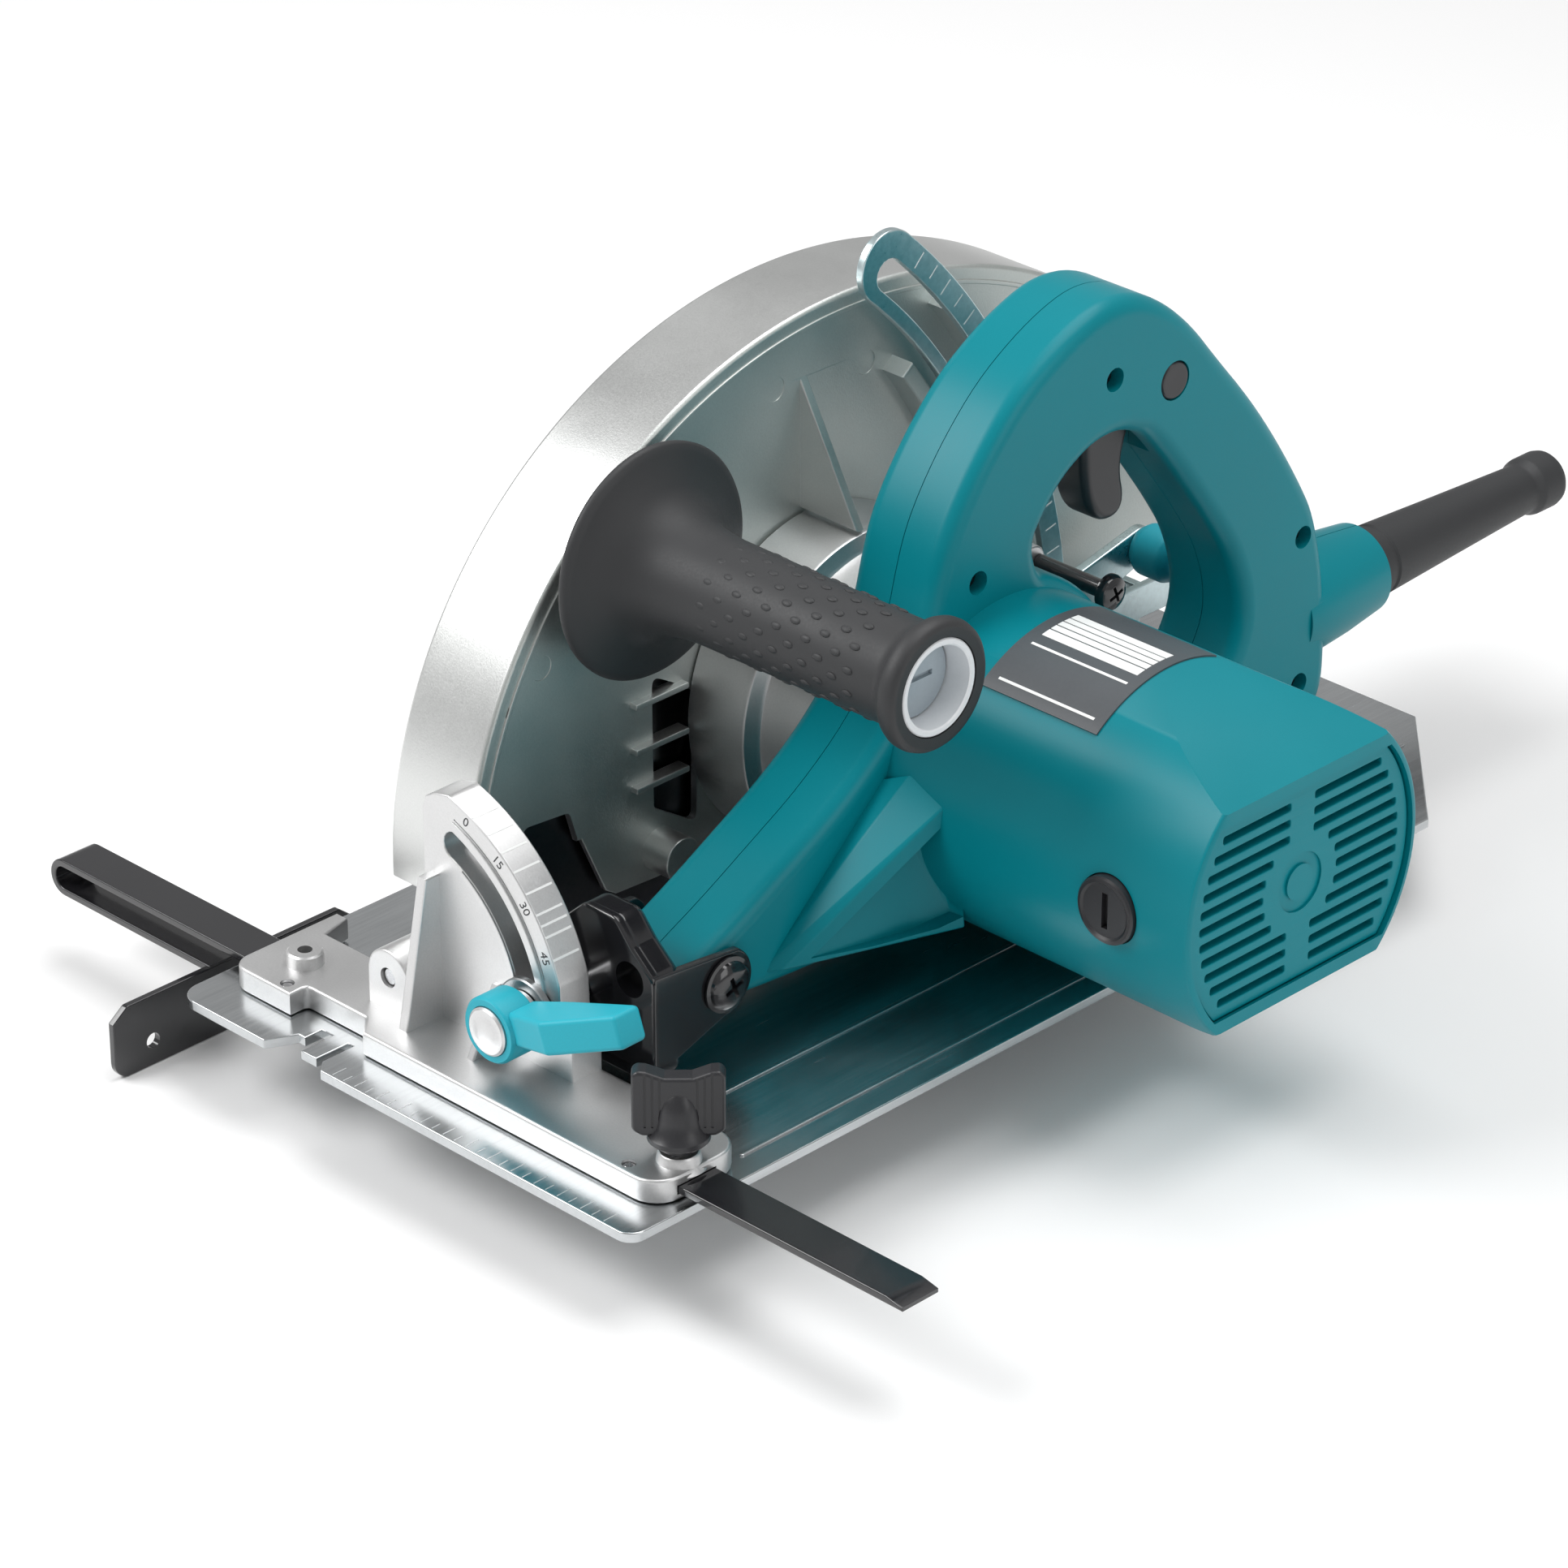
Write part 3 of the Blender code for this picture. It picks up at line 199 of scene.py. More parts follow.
def slab_mesh(axis, outlines, start, end, edge=0.0, steps=3):
    """A mesh from a flat outline with any holes, thick along the axis, its edges rounded."""
    curve = bpy.data.curves.new("outline", "CURVE")
    curve.dimensions = "2D"
    curve.fill_mode = "BOTH"
    curve.extrude = ((end - start) / 2 - edge) * MM
    curve.bevel_depth = edge * MM
    curve.bevel_resolution = steps
    curve.offset = -edge * MM
    for outline in outlines:
        spline = curve.splines.new("POLY")
        spline.points.add(len(outline) - 1)
        for point, (u, v) in zip(spline.points, outline):
            point.co = (u * MM, v * MM, 0, 1)
        spline.use_cyclic_u = True
    flat = bpy.data.objects.new("outline", curve)
    bpy.context.scene.collection.objects.link(flat)
    bpy.context.view_layer.update()
    mesh = bpy.data.meshes.new_from_object(flat.evaluated_get(bpy.context.evaluated_depsgraph_get()))
    bpy.data.objects.remove(flat, do_unlink=True)
    middle = (start + end) / 2 * MM
    turn = AXIS_TURN[axis].to_4x4() @ Matrix.Translation((0, 0, -middle if axis == "Y" else middle))
    bm = bmesh.new()
    bm.from_mesh(mesh)
    bmesh.ops.transform(bm, matrix=turn, verts=bm.verts)
    bmesh.ops.remove_doubles(bm, verts=bm.verts, dist=2e-6)
    bmesh.ops.recalc_face_normals(bm, faces=bm.faces)
    bm.to_mesh(mesh)
    bm.free()
    return mesh


def turned_mesh(axis, across, profile, sides=96, ring=False):
    """A mesh spun about the axis from a profile of (place along the axis, radius)."""
    bm = bmesh.new()
    verts = [bm.verts.new((r * MM, 0, z * MM)) for z, r in profile]
    edges = [bm.edges.new(pair) for pair in zip(verts, verts[1:])]
    if ring:
        edges.append(bm.edges.new((verts[-1], verts[0])))
    bmesh.ops.spin(bm, geom=verts + edges, cent=(0, 0, 0), axis=(0, 0, 1), angle=math.tau, steps=sides,
                   use_merge=True, use_duplicate=False)
    bmesh.ops.remove_doubles(bm, verts=bm.verts, dist=2e-6)
    bmesh.ops.recalc_face_normals(bm, faces=bm.faces)
    u, v = across
    turn = {
        "X": Matrix(((0, 0, 1, 0), (1, 0, 0, u * MM), (0, 1, 0, v * MM), (0, 0, 0, 1))),
        "Y": Matrix(((0, -1, 0, u * MM), (0, 0, 1, 0), (-1, 0, 0, v * MM), (0, 0, 0, 1))),
        "Z": Matrix(((1, 0, 0, u * MM), (0, 1, 0, v * MM), (0, 0, 1, 0), (0, 0, 0, 1))),
    }[axis]
    bmesh.ops.transform(bm, matrix=turn, verts=bm.verts)
    bmesh.ops.recalc_face_normals(bm, faces=bm.faces)
    mesh = bpy.data.meshes.new("turned")
    bm.to_mesh(mesh)
    bm.free()
    return mesh


def bore(axis, across, start, end, radius, sides):
    """A plain round cutter or rod along the axis."""
    return turned_mesh(axis, across, [(start, 0), (start, radius), (end, radius), (end, 0)], sides)


def box_mesh(low, high, edge=0.0):
    """A box between two corners, its edges rounded."""
    bm = bmesh.new()
    bmesh.ops.create_cube(bm, size=1.0)
    bmesh.ops.scale(bm, vec=[(h - l) * MM for l, h in zip(low, high)], verts=bm.verts)
    bmesh.ops.translate(bm, vec=[(h + l) / 2 * MM for l, h in zip(low, high)], verts=bm.verts)
    if edge:
        bmesh.ops.bevel(bm, geom=bm.edges[:], offset=edge * MM, affect="EDGES", segments=2, profile=0.5,
                        material=-1)
    mesh = bpy.data.meshes.new("box")
    bm.to_mesh(mesh)
    bm.free()
    return mesh


def combined(base, operation, *tools):
    """The base mesh with the tool meshes cut from it or fused to it."""
    holder = bpy.data.objects.new("work", base)
    bpy.context.scene.collection.objects.link(holder)
    helpers = []
    for tool in tools:
        helper = bpy.data.objects.new("tool", tool)
        bpy.context.scene.collection.objects.link(helper)
        helpers.append(helper)
        boolean = holder.modifiers.new("join", "BOOLEAN")
        boolean.operation = operation
        boolean.solver = "EXACT"
        boolean.object = helper
    bpy.context.view_layer.update()
    mesh = bpy.data.meshes.new_from_object(holder.evaluated_get(bpy.context.evaluated_depsgraph_get()))
    for used in [holder, *helpers]:
        bpy.data.objects.remove(used, do_unlink=True)
    return mesh


def joined(*meshes):
    """Several meshes in one, each still its own shell."""
    bm = bmesh.new()
    for mesh in meshes:
        bm.from_mesh(mesh)
    result = bpy.data.meshes.new("joined")
    bm.to_mesh(result)
    bm.free()
    return result


def piece(name, mesh, material, body, slot_name, *nodes, sharp=35):
    """Puts a finished mesh into the scene on its body, standing for its CAD nodes."""
    mesh.name = name
    mesh.materials.clear()
    mesh.materials.append(material)
    mesh.shade_smooth()
    mesh.set_sharp_from_angle(angle=math.radians(sharp))
    obj = bpy.data.objects.new(name, mesh)
    bpy.context.scene.collection.objects.link(obj)
    even = obj.modifiers.new("even_normals", "WEIGHTED_NORMAL")
    even.keep_sharp = True
    even.weight = 80
    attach(obj, body)
    if nodes:
        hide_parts(*nodes)
    return obj


PLATE_TOP = 3.5
PLATE_FRONT = -210.0
sheet_brushed = grained("sheet_brushed", SHEET, 0.24, 1.0, relief=0.012, shift=0.10, stretch=(1, 0.04, 1))
plate_front = [(-61, -210), (-56, -200), (-53, -200), (-53, -193), (-48, -193), (-48, -206),
               (-41, -206), (-41, -193), (-38.5, -193), (-38.5, -206), (-34.5, -210)]
plate_outline = arc((-94.5, -202), 8, 180, 270, 8) + plate_front + arc((96.5, -204), 6, 270, 360, 8)
plate_outline += [(102.5, 156), (52.4, 210)] + arc((-94.5, 202), 8, 90, 180, 8)
plate_opening = [(-75, -151), (-20, -151), (-20, 146), (-75, 146)]
plate = slab_mesh("Z", [plate_outline, rounded(plate_opening, 2)], 0, PLATE_TOP, edge=0.5, steps=2)
beads = [
    slab_mesh("Z", [arc((x, -154), 0.8, 180, 360, 6) + arc((x, back), 0.8, 0, 180, 6)], 3.0, 4.1,
              edge=0.35, steps=2)
    for x, back in ((92.6, 160), (62.9, 190))
]
piece("base_plate_sheet", joined(plate, *beads), sheet_brushed, "base", "sheet", "base_plate")

engraved = grained("engraved", (0.80, 0.82, 0.83), 0.42, 1.0)
rule_marks = []
for step in range(25):
    x = -30 + step * 5
    reach = 5.5 if step % 2 == 0 else 3.5
    foot = PLATE_FRONT + 1.0
    rule_marks.append(box_mesh((x - 0.18, foot, 3.4), (x + 0.18, foot + reach, 3.54)))
piece("base_plate_rule", joined(*rule_marks), engraved, "base", "sheet")

# ------------------------------------------------------------ angular guide
# The front guide is cast aluminium, tumbled and left bare: a slab with the fence channel, the bevel
# quadrant with its scale, a hinge ear and two ribs. Rivets hold it to the sole.

TILT = (-36.0, 23.5)
CLAMP = (90.5, -178.3)
SPARE = (-77, -178.3)
RIVETS = ((81.9, -190.7), (-71.1, -191.0))
FENCE_Y = (-186.0, -170.5)
FENCE_Z = (6.2, 8.8)
QUADRANT_FACE = -170.5
cast_bright = grained("cast_bright", (0.68, 0.68, 0.68), 0.42, 1.0, grain=1500, relief=0.05, shift=0.07)
white_ink = grained("white_ink", (0.86, 0.87, 0.86), 0.45, 0.0, shift=0.03)
dark_ink = grained("dark_ink", (0.03, 0.032, 0.035), 0.5, 0.0)


def arc_slot(centre, radius, half_width, start, end, steps):
    """A curved slot with round ends."""
    head, foot = polar(centre, radius, end), polar(centre, radius, start)
    over = arc(head, half_width, end, end + 180, 8)[1:-1]
    under = arc(foot, half_width, start + 180, start + 360, 8)[1:-1]
    outside = arc(centre, radius + half_width, start, end, steps)
    inside = arc(centre, radius - half_width, end, start, steps)
    return outside + over + inside + under


def sector(centre, inner, outer, start, end, steps):
    """A ring's piece between two radii and two angles."""
    return arc(centre, outer, start, end, steps) + arc(centre, inner, end, start, steps)


guide_outline = arc((-87, -188), 7, 180, 270, 6)
guide_outline += rounded([(-65.5, -195), (-65.5, -187.8), (-38, -187.8), (-31.5, -195)], 2, closed=False)
guide_outline += arc((88, -185), 10, 270, 360, 6) + arc((88, -168), 10, 0, 90, 6)
guide_outline += [(-57, -158), (-60, -161.5), (-86, -161.5), (-89, -150), (-94, -150)]
guide_slab = slab_mesh("Z", [guide_outline], 3.8, 12, edge=1.0)
quadrant_outline = [(-28.5, 10), (36.5, 10), (36.5, 25.5), (32, 25.5)] + arc(TILT, 70, 16, 74, 40)
quadrant_outline += [(-23, 89.5), (-27, 87), (-28.5, 83)]
quadrant = slab_mesh("Y", [quadrant_outline, arc_slot(TILT, 55, 4.6, 1.5, 67, 40)], QUADRANT_FACE, -158,
                     edge=0.6)
ear = slab_mesh("Y", [arc(TILT, 9.5, 0, 180, 24) + [(-45.5, 10), (-26.5, 10)]], -180, -160, edge=0.8)
tall_rib = slab_mesh("X", [[(-186, 10), (-168, 10), (-168, 61.9), (-176, 61.9)]], -25.5, -21.5, edge=0.7)
small_rib = slab_mesh("X", [[(-184, 10), (-168, 10), (-168, 34), (-172, 34)]], 2.5, 5.5, edge=0.7)
clamp_boss = turned_mesh("Z", CLAMP, [(10, 0), (10, 8.6), (12, 7), (14.4, 6.5), (15, 5.9), (15, 0)], 48)
spare_boss = turned_mesh("Z", SPARE, [(10, 0), (10, 6.2), (16, 5.9), (16.6, 5.3), (16.6, 0)], 48)
guide = combined(guide_slab, "UNION", quadrant, ear, tall_rib, small_rib, clamp_boss, spare_boss)
collar = slab_mesh("Y", [sector(TILT, 60, 63.2, 1.5, 70, 40)], -171.3, -170, edge=0.35)
inner_collar = slab_mesh("Y", [sector(TILT, 47.6, 50.2, 3, 60, 30)], -171.0, -170, edge=0.3)
guide = combined(guide, "UNION", collar, inner_collar)
guide = combined(
    guide, "DIFFERENCE",
    box_mesh((-120, FENCE_Y[0] - 0.3, FENCE_Z[0] - 0.3), (120, FENCE_Y[1] + 0.3, FENCE_Z[1] + 0.3)),
    bore("Z", CLAMP, 8, 20, 3.4, 32),
    bore("Z", SPARE, 8, 20, 2.4, 32),
    bore("Y", TILT, -190, -150, 3.4, 32),
    bore("Z", RIVETS[0], 0, 20, 2.3, 24),
    bore("Z", RIVETS[1], 0, 20, 2.3, 24),
    slab_mesh("Y", [sector(TILT, 63.6, 64.1, 18, 70, 30)], -171.5, -170.1),
)
piece("angular_guide_casting", guide, cast_bright, "base", "cast", "angular_guide", sharp=40)

scale_marks = []
for angle in (64.7, 58.8, 53, 47.2, 41, 35.2, 32.2, 29.2, 23.2):
    mark = box_mesh((69.9, -170.0, -0.35), (70.12, -159.4, 0.35))
    turn = Matrix.Translation((TILT[0] * MM, 0, TILT[1] * MM)) @ Matrix.Rotation(math.radians(-angle), 4, "Y")
    mark.transform(turn)
    scale_marks.append(mark)
piece("quadrant_scale", joined(*scale_marks), white_ink, "base", "white")


def figure_mesh(text, size, thick):
    """A generic scale figure as a flat solid, standing on its own plane."""
    curve = bpy.data.curves.new("figure", "FONT")
    curve.body = text
    curve.size = size * MM
    curve.extrude = thick / 2 * MM
    curve.align_x = "CENTER"
    curve.align_y = "CENTER"
    obj = bpy.data.objects.new("figure", curve)
    bpy.context.scene.collection.objects.link(obj)
    bpy.context.view_layer.update()
    mesh = bpy.data.meshes.new_from_object(obj.evaluated_get(bpy.context.evaluated_depsgraph_get()))
    bpy.data.objects.remove(obj, do_unlink=True)
    return mesh


figures = []
for text, angle in (("0", 66), ("15", 52), ("30", 38), ("45", 24)):
    figure = figure_mesh(text, 4.6, 0.12)
    x, z = polar(TILT, 66.8, angle)
    place = Matrix.Translation((x * MM, QUADRANT_FACE * MM, z * MM))
    spin = Matrix.Rotation(math.radians(angle) - math.pi / 2, 4, "Z")
    figure.transform(place @ Matrix.Rotation(math.radians(90), 4, "X") @ spin)
    figures.append(figure)
piece("quadrant_figures", joined(*figures), dark_ink, "base", "label")

steel_bright = grained("steel_bright", (0.56, 0.56, 0.57), 0.26, 1.0, grain=1200, relief=0.01, shift=0.06)
for number, place_xy in enumerate(RIVETS, 1):
    profile = [(3.8, 0), (3.8, 2.0), (10.9, 2.0), (11.4, 1.4), (11.4, 0)]
    piece(f"base_rivet_{number}_head", turned_mesh("Z", place_xy, profile, 32), steel_bright, "base", "steel",
          f"base_rivet_{number}")

# ------------------------------------------------------------ rear pivot lug
# A folded ear of the sole's sheet carries the rear bevel pin.

lug = slab_mesh("Y", [arc(TILT, 7.5, 0, 180, 24) + [(-43.5, 3.8), (-28.5, 3.8)]], 150, 155, edge=0.6)
lug = combined(lug, "UNION", box_mesh((-43, 152, 4.1), (-29, 180, 6.5), edge=0.4))
lug = combined(lug, "DIFFERENCE", bore("Y", TILT, 140, 165, 3.4, 32))
piece("rear_pivot_lug_sheet", lug, sheet_brushed, "base", "sheet", "rear_pivot_lug")

# ------------------------------------------------------------ rip fence
# A strip of steel, folded back under itself and down into the fence plate, painted gloss black.

black_gloss = grained("black_gloss", (0.012, 0.012, 0.014), 0.16, 0.0, grain=700, relief=0.015, shift=0.1,
                      coat=0.6)
bar_outline = [(183, 8.8)] + arc((-187.5, 2.25), 6.55, 90, 270, 20) + [(-115.2, -4.3), (-115.2, -1.7)]
bar_outline += arc((-187.5, 2.25), 3.95, 270, 90, 20) + [(189.5, 6.2), (189.5, 7.5)]
fence = slab_mesh("Y", [bar_outline[::-1]], *FENCE_Y, edge=0.5)
wall_outline = arc((-220, -21.5), 6, 180, 270, 8) + arc((-131.3, -21.5), 6, 270, 360, 8)
wall_outline += rounded([(-125.3, -7), (-131, -2.5), (-220, -2.5), (-226, -7)], 2, closed=False)
fence_wall = slab_mesh("X", [wall_outline], -117.5, -115, edge=0.4)
fence = combined(fence, "UNION", fence_wall)
fence = combined(fence, "DIFFERENCE",
                 bore("X", (-210.3, -18.8), -125, -105, 2.7, 32))
piece("rip_fence_bar", fence, black_gloss, "rip_fence_body", "black_paint", "rip_fence")

# ------------------------------------------------------------ clamping knob
# A moulded black wing knob on a steel screw, with fine ribs up both wings for grip.

black_satin = grained("black_satin", (0.022, 0.022, 0.025), 0.36, 0.0, grain=1800, relief=0.03, shift=0.12)
knob_profile = [(16, 0), (16, 5.6), (16.6, 6.2), (18.2, 6.4), (19.0, 9.0), (19.6, 9.6), (21.2, 9.6),
                (21.8, 9.0), (24, 7.4), (27, 6.8), (30, 6.4), (33, 5.4), (35, 4.0), (36.4, 2.2), (36.9, 0)]
knob = turned_mesh("Z", CLAMP, knob_profile, 64)
wing_shape = [(-14, 23.5), (-11, 21.5), (11, 21.5), (14, 23.5), (14, 42), (12.4, 43.5), (9.6, 43.2), (4, 41),
              (-4, 41), (-9.6, 43.2), (-12.4, 43.5), (-14, 42)]
wings = slab_mesh("Y", [rounded(wing_shape, 2.2)], -3.4, 3.4, edge=1.1)
knob_turn = Matrix.Translation((CLAMP[0] * MM, CLAMP[1] * MM, 0)) @ Matrix.Rotation(math.radians(45), 4, "Z")
wings.transform(knob_turn)
grooves = []
for side in (-1, 1):
    for step in range(3):
        for face in (-1, 1):
            x = side * (5.6 + step * 2.2)
            low, high = sorted((face * 3.1, face * 4.2))
            groove = box_mesh((x - 0.35, low, 24.5), (x + 0.35, high, 44))
            groove.transform(knob_turn)
            grooves.append(groove)
wings = combined(wings, "DIFFERENCE", *grooves)
knob = combined(knob, "UNION", wings)
knob = combined(knob, "DIFFERENCE", bore("Z", CLAMP, 10, 24, 3.3, 32))
piece("wing_knob_moulding", knob, black_satin, "clamp_knob", "black_plastic", "wing_knob")
screw_profile = [(9.1, 0), (9.1, 2.4), (9.7, 3)]
for step in range(12):
    screw_profile += [(10.2 + step, 3.0), (10.7 + step, 2.55)]
screw_profile += [(22.6, 3), (23.6, 3), (23.6, 0)]
piece("clamp_screw_thread", turned_mesh("Z", CLAMP, screw_profile, 32), steel_bright, "clamp_knob", "steel",
      "clamp_screw")

# ------------------------------------------------------------ pivot yoke
# The yoke is pressed from 3 mm steel and painted gloss black. Its domed front wall hangs on the
# bevel pin and its two cheeks hold the swing bolt, with a hole to reach the screw behind.

SWING = (-119.0, 31.5)
STUD = polar(TILT, 55, 7)
yoke_front = arc(TILT, 6.5, 90, 270, 16)
yoke_edge = [(8, 7), (47, 7), (50.5, 10), (50.5, 44), (41, 52), (34, 60), (20, 60), (9, 50), (3, 38)]
yoke_front += rounded(yoke_edge, 5, closed=False)
yoke = slab_mesh("Y", [yoke_front], -149.5, -146, edge=1.0)
cheek_outline = [(-149, 10), (-119, 20)] + arc(SWING, 11.5, 270, 420, 20) + [(-128.2, 43), (-149, 45)]
near_cheek = slab_mesh("X", [cheek_outline], 47.5, 50.5, edge=0.8)
far_cheek = slab_mesh("X", [cheek_outline], 2.5, 5.5, edge=0.8)
pan_outline = [(-20, 13), (-12, 7)] + yoke_edge[1:-1] + [(-6, 38)]
pan = slab_mesh("Y", [rounded(pan_outline, 6)], -149.4, -137, edge=3.6, steps=5)
yoke = combined(yoke, "UNION", near_cheek, far_cheek, pan)
yoke = combined(
    yoke, "DIFFERENCE",
    bore("X", SWING, -10, 60, 4.3, 32),
    bore("Y", TILT, -160, -136, 3.4, 32),
    bore("Y", STUD, -160, -136, 4.4, 32),
    bore("Y", (40, 41), -160, -142, 6, 32),
)
piece("pivot_yoke_pressing", yoke, black_gloss, "tilt_frame", "black_paint", "pivot_bracket", sharp=40)


def cross_recess(across, head, reach, width, depth):
    """Two crossed tapered slots for a driver, cut into a screw head that faces +X."""
    slots = []
    for turn in (20, 110):
        foot = reach * 0.45
        cutter = slab_mesh("Z", [[(-reach, 0.4), (-foot, -depth), (foot, -depth), (reach, 0.4)]],
                           -width / 2, width / 2)
        cutter.transform(Matrix.Rotation(math.radians(turn), 4, "Y"))
        cutter.transform(Matrix.Rotation(math.radians(-90), 4, "Z"))
        cutter.transform(Matrix.Translation((head * MM, across[0] * MM, across[1] * MM)))
        slots.append(cutter)
    return slots


bolt_profile = [(-3, 0), (-3, 4), (50.9, 4), (50.9, 9.3), (51.7, 9.3), (52.0, 8), (53.0, 7.7), (54.0, 6.4),
                (54.5, 4), (54.5, 0)]
pivot_bolt = turned_mesh("X", SWING, bolt_profile, 64)
pivot_bolt = combined(pivot_bolt, "DIFFERENCE", *cross_recess(SWING, 54.5, 4.2, 1.5, 2.4))
piece("depth_pivot_screw", pivot_bolt, black_gloss, "tilt_frame", "black_paint", "depth_pivot_bolt")

# ------------------------------------------------------------ bevel clamp
# A steel stud passes through the quadrant, with a zinc washer and a lever nut. The lever is moulded
# in satin cyan over the turned hub, whose end shows.

stud_profile = [(-186, 0), (-186, 4), (-145.4, 4), (-145.4, 7), (-140.5, 7), (-140.5, 0)]
piece("bevel_stud_bolt", turned_mesh("Y", STUD, stud_profile, 48), steel_bright, "tilt_frame", "steel",
      "bevel_stud")
washer_profile = [(-173.4, 4.4), (-173.4, 11), (-173.0, 11.5), (-171.2, 11.5), (-170.8, 11), (-170.8, 4.4)]
zinc_grey = grained("zinc_grey", (0.42, 0.44, 0.45), 0.3, 1.0, grain=800, relief=0.015, shift=0.1)
piece("bevel_washer_disc", turned_mesh("Y", STUD, washer_profile, 64, ring=True), zinc_grey, "tilt_frame",
      "steel", "bevel_washer")
hub_profile = [(-190, 0), (-190, 4.2), (-189.4, 5.2), (-189.4, 7.2), (-188.8, 8), (-173.8, 8), (-173.8, 4.4),
               (-186.5, 4.4), (-186.5, 0)]
piece("bevel_lever_nut", turned_mesh("Y", STUD, hub_profile, 64), cast_bright, "bevel_lever_body", "cast",
      "bevel_lever_hub")
cyan_satin = grained("cyan_satin", (0.02, 0.40, 0.50), 0.42, 0.0, grain=1600, shift=0.05, shine=0.3)
lever_plan = [(8.2, -186.5), (30, -192.5), (56.5, -184.5), (56.5, -174), (27, -173.9), (8.2, -175)]
lever = slab_mesh("Z", [rounded(lever_plan, 2.0, steps=3)], -5.5, 5.5, edge=1.6, steps=3)
lever_tilt = Matrix.Translation((STUD[0] * MM, 0, STUD[1] * MM)) @ Matrix.Rotation(math.radians(-20), 4, "Y")
lever.transform(lever_tilt)
eye_profile = [(-188.3, 8.2), (-188.3, 10.2), (-187.3, 11), (-177.8, 11), (-176.8, 10.2), (-176.8, 8.2)]
eye = turned_mesh("Y", STUD, eye_profile, 48, ring=True)
lever = combined(lever, "UNION", eye)
lever = combined(lever, "DIFFERENCE", bore("Y", STUD, -200, -165, 8.2, 48))
piece("bevel_lever_moulding", lever, cyan_satin, "bevel_lever_body", "cyan", "bevel_lever", sharp=40)

# ------------------------------------------------------------ bevel pins
# Two plain steel pins are the hinge of the tilting frame.

for node, start, end in (("front_tilt_pin", -179, -142.5), ("rear_tilt_pin", 147, 164)):
    profile = [(start, 0), (start, 2.5), (start + 0.5, 3), (end - 0.5, 3), (end, 2.5), (end, 0)]
    piece(node + "_steel", turned_mesh("Y", TILT, profile, 32), steel_bright, "tilt_frame", "steel", node)

# ------------------------------------------------------------ depth guide and rear bracket
# The slotted arc is blanked from 3 mm steel and zinc plated, with a white depth scale on its outer
# arm. It is welded to the rear bracket, which hangs on the rear pin.

zinc_blue = grained("zinc_blue", (0.66, 0.78, 0.80), 0.30, 1.0, grain=600, relief=0.012, shift=0.12)
GUIDE_END = polar(SWING, 225.5, 48.3)
depth_outline = arc(SWING, 238, 3.1, 48.3, 60) + arc(GUIDE_END, 12.5, 48.3, 228.3, 24)[1:-1]
depth_outline += arc(SWING, 213, 48.3, 0.2, 60) + [(177, 32.2), (177, 44.4)]
depth_guide = slab_mesh("X", [depth_outline, arc_slot(SWING, 223.5, 5.5, 2.6, 47.9, 60)], -29, -26, edge=0.45)
piece("depth_guide_arc", depth_guide, zinc_blue, "tilt_frame", "zinc", "depth_guide")
ticks = []
for step in range(19):
    tick = box_mesh((-26.05, 231.5 if step % 2 else 230.5, -0.22), (-25.93, 236.5, 0.22))
    turn = Matrix.Rotation(math.radians(6 + step * 2.2), 4, "X")
    tick.transform(Matrix.Translation((0, SWING[0] * MM, SWING[1] * MM)) @ turn)
    ticks.append(tick)
piece("depth_scale", joined(*ticks), white_ink, "tilt_frame", "white")
tongue = arc(TILT, 8, 150, 330, 24) + [(-29.3, 21), (-29.3, 44), (-38.5, 44), (-38.5, 32)]
bracket = slab_mesh("Y", [tongue], 156, 159.5, edge=0.5)
bracket = combined(bracket, "DIFFERENCE", bore("Y", TILT, 150, 165, 3.4, 32))
piece("rear_bracket_plate", bracket, zinc_blue, "tilt_frame", "zinc", "rear_bracket")

# ------------------------------------------------------------ blade case
# The upper guard is one aluminium casting: a satin rim, two walls and bosses, with a louvred
# window, a stiffening rib, ejector marks and a dust outlet.

SPINDLE = (2.2, 34.1)
GRIP = (-78.4, 136.0)
LOCK = (SWING[0] + 222.65, SWING[1] + 19.48)  # the depth lock bolt
CASE_NEAR = -39.5
CASE_FAR = -75.5
CASE_WALL = 2.8
cast_case = grained("cast_case", (0.72, 0.73, 0.72), 0.36, 1.0, grain=1700, relief=0.06, shift=0.06)
# The second case finish is a darker, slightly greener, rougher copy of the first: painted shade for the near
# wall's outward faces, which turn away from the key light.
cast_near_painted_shade = grained("cast_near_painted_shade", (0.60, 0.63, 0.61), 0.48, 1.0, grain=1500, relief=0.09, shift=0.08)


def volute(first, last, steps, less=0.0):
    """The case's spiral outline about the spindle, which opens towards the rear outlet."""
    points = []
    for i in range(steps + 1):
        angle = first + (last - first) * i / steps
        radius = 145.0 + 47.0 * (max(160.0 - angle, 0.0) / 128.0) ** 2.8 - less
        points.append(polar(SPINDLE, radius, angle))
    return points


def rod_mesh(axis, across, start, end, radius, edge=0.6, sides=48):
    """A turned rod or boss with a small round at both ends."""
    profile = [(start, 0), (start, radius - edge), (start + edge * 0.3, radius - edge * 0.3),
               (start + edge, radius), (end - edge, radius), (end - edge * 0.3, radius - edge * 0.3),
               (end, radius - edge), (end, 0)]
    return turned_mesh(axis, across, profile, sides)


